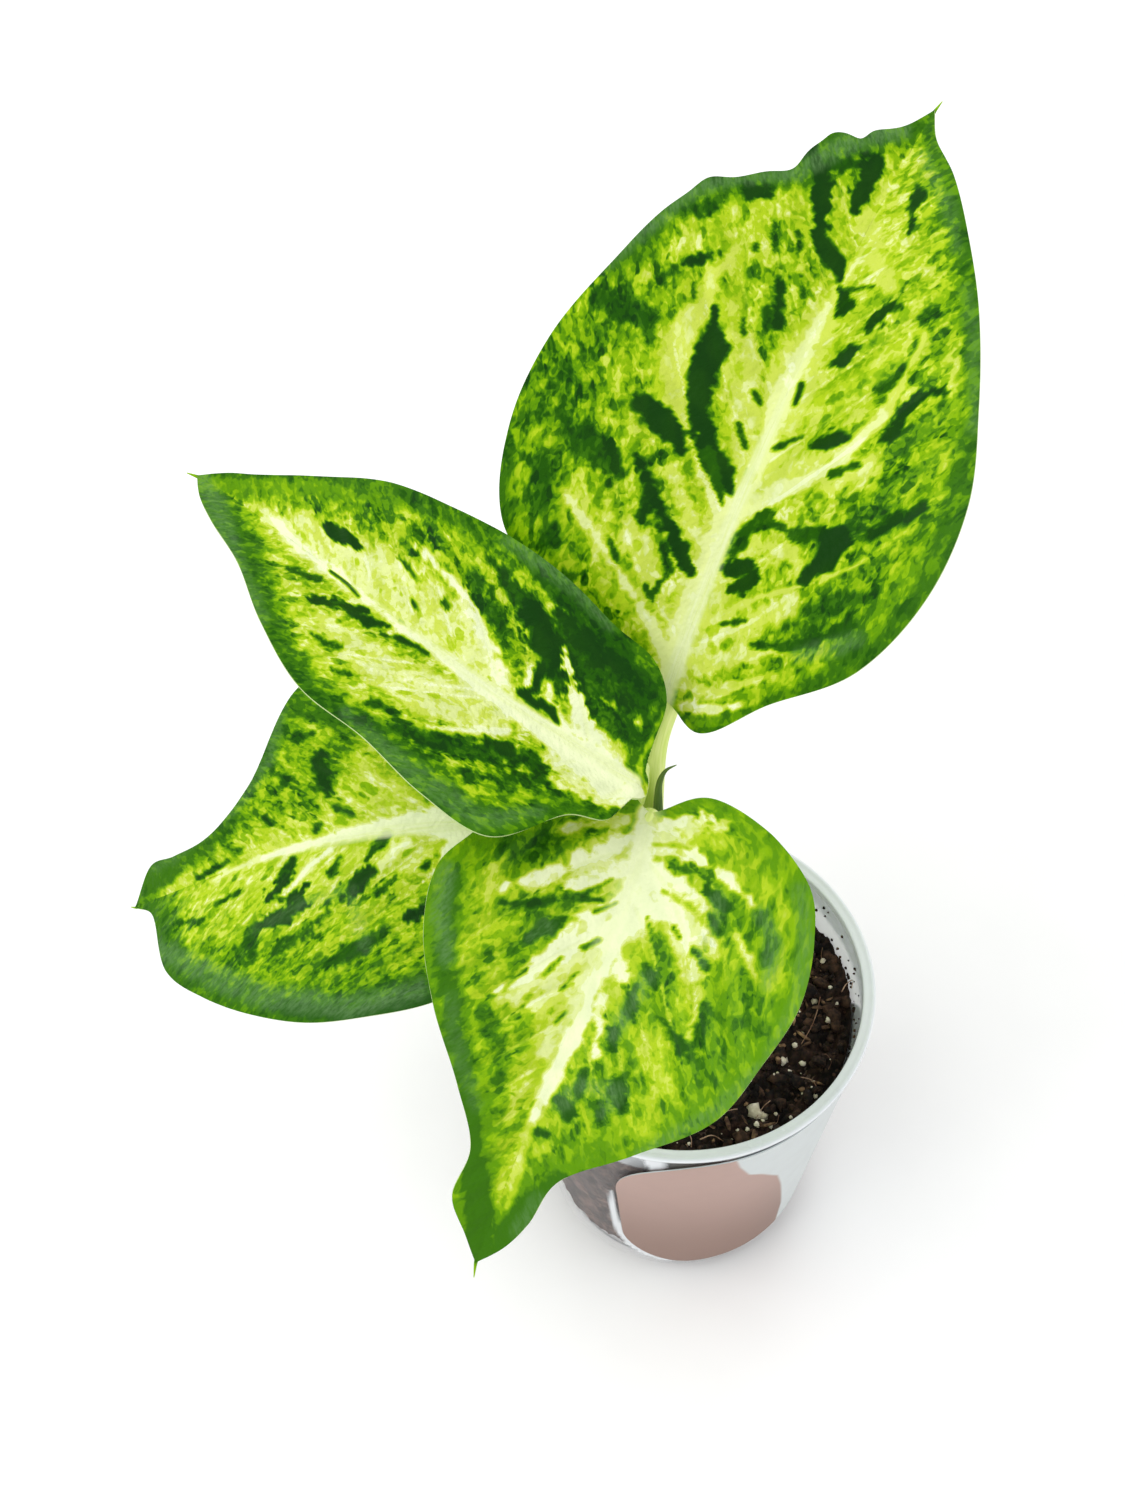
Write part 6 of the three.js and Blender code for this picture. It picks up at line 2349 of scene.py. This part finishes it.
@dataclass
class PottingMix:
    """The body of dark mix with its loose crumbs, grains, chips and fibres.

    Attributes:
        level: Height of its top.
        lump: Height of the lumps.
        heap: Height of the heap at one side.
        heap_azimuth: Where the heap is.
        seed: Seed of the random draws.
        rings: Rings of points on its top.
        sides: Points in a ring.
        depths: Heights of the rings down its side.
        underside: Height of its underside.
        shoulder: Height below which it shows through the wall.
        crumbs: How many crumbs of peat lie on it.
        chips: How many chips of bark.
        specks: How many small white grains.
        wall_crumbs: How many crumbs stick to the wall above it.
        threads: How many loose fibres.
        grains: The larger white grains: pixel across and down, half width and half height.
        strands: Pixels of the fibres that show plainly.
    """

    level: float = 51.6
    lump: float = 0.9
    heap: float = 2.6
    heap_azimuth: float = 12.0
    seed: int = 7
    rings: int = 90
    sides: int = 300
    depths: tuple = (49.5, 46, 42, 38, 33, 28, 23, 18, 13, 8, 4.6)
    underside: float = 3.1
    shoulder: float = 50.5
    crumbs: int = 900
    chips: int = 230
    specks: int = 150
    wall_crumbs: int = 70
    threads: int = 70
    grains: tuple = (
        (782, 1056, 1.05, 1.1), (803, 1060, 0.55, 0.5), (804, 1030, 0.32, 0.3), (790, 1069, 0.45, 0.4),
        (755, 1108, 1.25, 0.9), (764, 1112, 0.75, 0.6), (829, 1018, 0.7, 0.55), (837, 1018, 0.35, 0.35),
        (830, 989, 0.35, 0.35), (815, 998, 0.7, 0.5), (807, 1100, 0.35, 0.35), (815, 1097, 0.35, 0.3),
        (743, 1133, 0.6, 0.4), (771, 1124, 0.4, 0.35), (791, 1117, 0.3, 0.3), (757, 1124, 0.5, 0.35),
        (731, 1137, 0.4, 0.3), (738, 1129, 0.3, 0.25), (748, 1128, 0.45, 0.3), (763, 1119, 0.3, 0.25),
        (776, 1113, 0.3, 0.25), (803, 1091, 0.3, 0.25), (796, 1103, 0.25, 0.2), (812, 1086, 0.2, 0.2),
    )
    strands: tuple = (
        ((820, 998), (817, 1012), (811, 1028), (801, 1045)),
        ((841, 996), (846, 987), (852, 984), (851, 992)),
        ((790, 1078), (800, 1074), (812, 1079), (818, 1090)),
        ((700, 1140), (712, 1136), (724, 1139)),
    )

    def height(self, x: np.ndarray, y: np.ndarray) -> np.ndarray:
        """Works out the smooth height of the mix, the same as the solid's.

        Args:
            x: Places across.
            y: Places away from the viewer.

        Returns:
            The height at each place.
        """
        reach = np.hypot(x, y) / POT.mouth_radius
        lumps = np.sin(0.55 * x + 1.1) * np.cos(0.48 * y - 0.4)
        lumps = lumps + 0.6 * np.sin(1.13 * x - 0.7 * y) + 0.45 * np.cos(0.9 * y + 0.62 * x + 2)
        turn = np.arctan2(y, x) - math.radians(self.heap_azimuth)
        heap = self.heap * np.exp(-((turn / 0.28) ** 2)) * reach**8
        return self.level + self.lump * lumps * 0.6 + heap

    def rough_height(self, x: float, y: float) -> float:
        """Works out the height with the small clods of the finished surface.

        Args:
            x: Place across.
            y: Place away from the viewer.

        Returns:
            The height there.
        """
        clods = noise.fractal(Vector((x * 0.36, y * 0.36, 3.1)), 0.75, 2.2, 5)
        cells = noise.voronoi(Vector((x * 0.75, y * 0.75, 1.3)))[0]
        pits = min(1.0, (cells[1] - cells[0]) * 3)
        return float(self.height(np.array(x), np.array(y))) + 0.7 * clods + 0.9 * pits - 0.7

    def body(self) -> tuple[np.ndarray, list]:
        """Builds the mix's body, ring by ring from the middle of its top.

        Returns:
            Its points and faces.
        """
        edge = POT.inner(self.level) - 0.35
        turns = [2 * math.pi * k / self.sides for k in range(self.sides)]
        points = []
        for ring in range(1, self.rings + 1):
            reach = edge * ring / self.rings
            for turn in turns:
                x, y = reach * math.cos(turn), reach * math.sin(turn)
                points.append((x, y, self.rough_height(x, y)))
        for z in self.depths:
            for turn in turns:
                x, y = math.cos(turn), math.sin(turn)
                pit = 0.5 * abs(noise.fractal(Vector((x * 9, y * 9, z * 0.35)), 0.9, 2.1, 4))
                radius = POT.inner(z) - 0.12 - pit
                points.append((radius * x, radius * y, z))
        foot = POT.inner(4.0) - 1.2
        points += [(foot * math.cos(turn), foot * math.sin(turn), self.underside) for turn in turns]
        points += [(0.0, 0.0, self.rough_height(0.0, 0.0)), (0.0, 0.0, self.underside)]
        return np.array(points), stack_faces(self.rings + len(self.depths) + 1, self.sides, flip=True)

    @staticmethod
    def ball(detail: int) -> tuple[np.ndarray, list]:
        """Makes a ball of radius 1.

        Args:
            detail: How often its faces are divided.

        Returns:
            Its points and faces.
        """
        mesh = bpy.data.meshes.new("ball")
        shape = bmesh.new()
        bmesh.ops.create_icosphere(shape, subdivisions=detail, radius=1)
        shape.to_mesh(mesh)
        shape.free()
        points = np.array([v.co for v in mesh.vertices])
        faces = [list(face.vertices) for face in mesh.polygons]
        bpy.data.meshes.remove(mesh)
        return points, faces

    @staticmethod
    def add_bit(
        batch: Batch, ball: tuple, place: tuple, size: tuple, draw: random.Random, jag: float
    ) -> None:
        """Adds one rough bit to a batch.

        Args:
            batch: Where it goes.
            ball: Points and faces of the ball to start from.
            place: Its centre.
            size: Its half sizes.
            draw: The random draws.
            jag: How rough it is.
        """
        points, faces = ball
        offset = Vector([draw.uniform(-50, 50) for _ in range(3)])
        swell = np.array([1 + jag * noise.fractal(Vector(p) * 1.3 + offset, 0.8, 2.2, 3) for p in points])
        turned = points * swell[:, None] * np.asarray(size)
        spin = Matrix.Rotation(draw.uniform(0, 6.28), 3, "Z")
        spin = spin @ Matrix.Rotation(draw.uniform(-0.5, 0.5), 3, "X")
        batch.add(turned @ np.array(spin).T + np.asarray(place), faces)

    def spot(self, inset: float, draw: random.Random) -> tuple[float, float]:
        """Draws a random place on the top.

        Args:
            inset: How far it stays from the wall.
            draw: The random draws.

        Returns:
            The place, across and away.
        """
        reach = (POT.inner(self.level) - inset) * math.sqrt(draw.random())
        turn = draw.uniform(0, 2 * math.pi)
        return reach * math.cos(turn), reach * math.sin(turn)

    def loose_bits(self, draw: random.Random) -> dict[Crumb, Batch]:
        """Scatters the loose crumbs, chips and grains.

        Args:
            draw: The random draws.

        Returns:
            The bits by kind.
        """
        batches = {kind: Batch() for kind in Crumb}
        peat, bark, perlite = batches.values()
        small, large = self.ball(1), self.ball(2)
        for _ in range(self.crumbs):
            x, y = self.spot(0.8, draw)
            radius = 0.3 + 1.15 * draw.random() ** 2.6
            size = (radius * draw.uniform(0.8, 1.7), radius, radius * draw.uniform(0.6, 1.1))
            place = (x, y, self.rough_height(x, y) + 0.25 * radius)
            self.add_bit(peat, small, place, size, draw, 0.9)
        for _ in range(self.chips):
            x, y = self.spot(1.8, draw)
            size = (0.3 + 1.3 * draw.random() ** 1.8, draw.uniform(0.18, 0.5), draw.uniform(0.15, 0.35))
            place = (x, y, self.rough_height(x, y) + draw.uniform(0.3, 0.9))
            self.add_bit(bark, small, place, size, draw, 0.6)
        for across, down, wide, high in self.grains:
            x, y, _ = CAMERA.at_level((across, down), self.level + 0.6)
            place = (x, y, self.rough_height(x, y) + 0.45 * high)
            self.add_bit(perlite, large, place, (wide, wide * 0.9, high), draw, 0.55)
        for _ in range(self.specks):
            x, y = self.spot(2.0, draw)
            radius = 0.1 + 0.42 * draw.random() ** 2.6
            place = (x, y, self.rough_height(x, y) + 0.45 + 0.3 * radius)
            self.add_bit(perlite, large, place, (radius * 1.1, radius, radius * 0.8), draw, 0.55)
        for _ in range(self.wall_crumbs):
            turn = math.radians(draw.uniform(-35, 75))
            z = 52.5 + 5.2 * draw.random() ** 2.2
            radius = draw.uniform(0.1, 0.34)
            reach = POT.inner(z) - 0.45 * radius
            place = (reach * math.cos(turn), reach * math.sin(turn), z)
            self.add_bit(peat, small, place, (radius, radius, radius), draw, 0.9)
        return batches

    def fibres(self, draw: random.Random) -> Batch:
        """Scatters the fine fibres that lie on the mix.

        Args:
            draw: The random draws.

        Returns:
            The fibres.
        """
        limit = POT.inner(self.level) - 2.0
        courses = []
        for strand in self.strands:
            flat = [CAMERA.at_level(pixel, self.level + 0.8) for pixel in strand]
            courses.append(([(x, y, self.rough_height(x, y) + 0.75) for x, y, _ in flat], 0.11))
        for _ in range(self.threads):
            x, y = self.spot(2.0, draw)
            heading = draw.uniform(0, 2 * math.pi)
            course = []
            for step in range(4):
                keep = min(1.0, limit / max(math.hypot(x, y), 1e-6))
                x, y = x * keep, y * keep
                lift = 0.25 + 0.5 * draw.random() * (step in (1, 2))
                course.append((x, y, self.rough_height(x, y) + lift))
                heading += draw.uniform(-0.7, 0.7)
                length = draw.uniform(0.7, 1.9)
                x, y = x + length * math.cos(heading), y + length * math.sin(heading)
            courses.append((course, draw.uniform(0.045, 0.1)))
        batch = Batch()
        for course, radius in courses:
            line = smooth_course(course, 18)
            points, faces, _, _ = tube(line, np.linspace(radius, radius * 0.5, len(line)), 6)
            batch.add(points, faces)
        return batch

    def build(self, group: EffectGroup) -> list[bpy.types.Object]:
        """Builds the mix and its loose bits.

        Args:
            group: The shared crumb effect.

        Returns:
            The objects.
        """
        draw = random.Random(self.seed)
        finishes = {
            Crumb.PEAT: CrumbFinish(srgb(14, 9, 7), srgb(88, 62, 46), 0.9, 0.6),
            Crumb.BARK: CrumbFinish(srgb(64, 42, 30), srgb(186, 150, 110), 0.8, 0.5),
            Crumb.PERLITE: CrumbFinish(srgb(196, 184, 160), srgb(254, 246, 228), 0.75, 0.6),
        }
        top = CrumbFinish(srgb(12, 8, 6), srgb(66, 44, 34), 0.92, 0.7).material("peat_body", group)
        # A lighter, greyer copy of the peat where it shows through the wall: painted light standing in for
        # the light the hazy wall lets in.
        side = CrumbFinish(srgb(58, 44, 40), srgb(122, 98, 88), 0.6, 0.7).material("peat_painted_light_on_wall", group)
        fibre = CrumbFinish(srgb(110, 76, 56), srgb(206, 172, 146), 0.7, 0.5).material("root_fibre", group)
        batch = Batch()
        points, faces = self.body()
        batch.add(points, faces)
        low = points[:, 2] < self.shoulder
        batch.marks = [int(low[face[-1]] and low[face[-2]]) for face in faces]
        body = batch.build("potting_mix_body", [top, side])
        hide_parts("potting_mix")
        pieces = [body]
        for kind, bits in self.loose_bits(draw).items():
            finish = finishes[kind].material(f"{kind.value}_bits", group)
            pieces.append(bits.build(f"potting_mix_{kind.value}", [finish]))
        pieces.append(self.fibres(draw).build("potting_mix_fibres", [fibre]))
        for piece in pieces:
            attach(piece, "root")
        return pieces


# ---- Studio ----------------------------------------------------------------------


@dataclass(frozen=True)
class Lamp:
    """One soft panel of light.

    Attributes:
        name: Its name.
        place: Where it hangs, in metres.
        size: The length of its sides, in metres.
        power: Its power in watts.
    """

    name: str
    place: tuple
    size: float
    power: float

    def build(self, target: Vector) -> None:
        """Makes the lamp.

        Args:
            target: What it is aimed at.
        """
        data = bpy.data.lights.new(self.name, "AREA")
        data.shape = "SQUARE"
        data.size = self.size
        data.energy = self.power
        lamp = bpy.data.objects.new(self.name, data)
        aim = (target - Vector(self.place)).to_track_quat("-Z", "Y").to_matrix().to_4x4()
        lamp.matrix_world = Matrix.Translation(Vector(self.place)) @ aim
        bpy.context.scene.collection.objects.link(lamp)


@dataclass
class Studio:
    """A plain pale floor and plain soft light.

    Attributes:
        lamps: The soft panels.
        aim: What the panels face, in metres.
        sky: Strength of the even light from all round.
        floor_size: Half the floor's side in metres.
    """

    lamps: tuple = (
        Lamp("KeyPanel", (-0.55, -0.15, 1.0), 0.7, 5.0),
        Lamp("FillPanel", (0.75, -0.45, 0.6), 0.8, 1.0),
        Lamp("BackPanel", (0.1, 0.85, 0.75), 0.8, 1.5),
    )
    aim: tuple = (-0.01, 0.01, 0.09)
    sky: float = 0.92
    floor_size: float = 3.0

    def build(self) -> None:
        """Builds the floor, the light and the even sky."""
        s = self.floor_size
        mesh = bpy.data.meshes.new("floor")
        mesh.from_pydata([(-s, -s, 0), (s, -s, 0), (s, s, 0), (-s, s, 0)], [], [(0, 1, 2, 3)])
        floor = bpy.data.objects.new("floor", mesh)
        bpy.context.scene.collection.objects.link(floor)
        material, desk, shader = new_material("pale_floor")
        speck = desk.noise(desk.position(), 60, 2)
        desk.feed(shader.inputs["Base Color"], desk.mix(speck, srgb(246, 246, 246), srgb(250, 250, 250)))
        shader.inputs["Roughness"].default_value = 0.8
        mesh.materials.append(material)
        world = bpy.data.worlds.new("StudioSky")
        world.use_nodes = True
        sky = world.node_tree.nodes["Background"]
        sky.inputs["Color"].default_value = (1, 1, 1, 1)
        sky.inputs["Strength"].default_value = self.sky
        bpy.context.scene.world = world
        for lamp in self.lamps:
            lamp.build(Vector(self.aim))
        bpy.context.scene.view_settings.view_transform = "Standard"


def main() -> None:
    """Builds the plant, the pot and the studio."""
    logging.basicConfig(level=logging.INFO, format="%(name)s: %(message)s")
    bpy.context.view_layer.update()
    CAMERA.build()
    Studio().build()
    leaf_effect = LeafFinish().group()
    tissue = tissue_group()
    crumbs = crumb_group()
    stalk = StalkFinish().material("stalk_skin", tissue)
    cane = StalkFinish(pale=srgb(178, 196, 112), green=srgb(122, 158, 62), roughness=0.45)
    bud = StalkFinish(pale=srgb(128, 152, 84), green=srgb(66, 96, 34), roughness=0.5)
    for leaf in (UPPER_RIGHT, UPPER_LEFT, LOWER_LEFT, FRONT):
        skin = LeafFinish().material(leaf.node + "_skin", leaf_effect)
        piece = leaf.build(skin, stalk)
        LOG.info("%s has %d points", piece.name, len(piece.data.vertices))
    clear = PotFinish("clear_pot_wall", srgb(232, 236, 240), 0.03, 0.14).material()
    milky = PotFinish("milky_pot_rim", srgb(230, 235, 238), 0.92, 1.0, 0.2).material()
    pieces = [
        Cane().build(cane.material("cane_skin", tissue)),
        Shoot().build(bud.material("shoot_skin", tissue)),
        Pot().build(clear, milky),
        Label().build(LabelFinish().material()),
        *PottingMix().build(crumbs),
    ]
    for piece in pieces:
        LOG.info("%s has %d points", piece.name, len(piece.data.vertices))


if __name__ == "__main__":
    main()
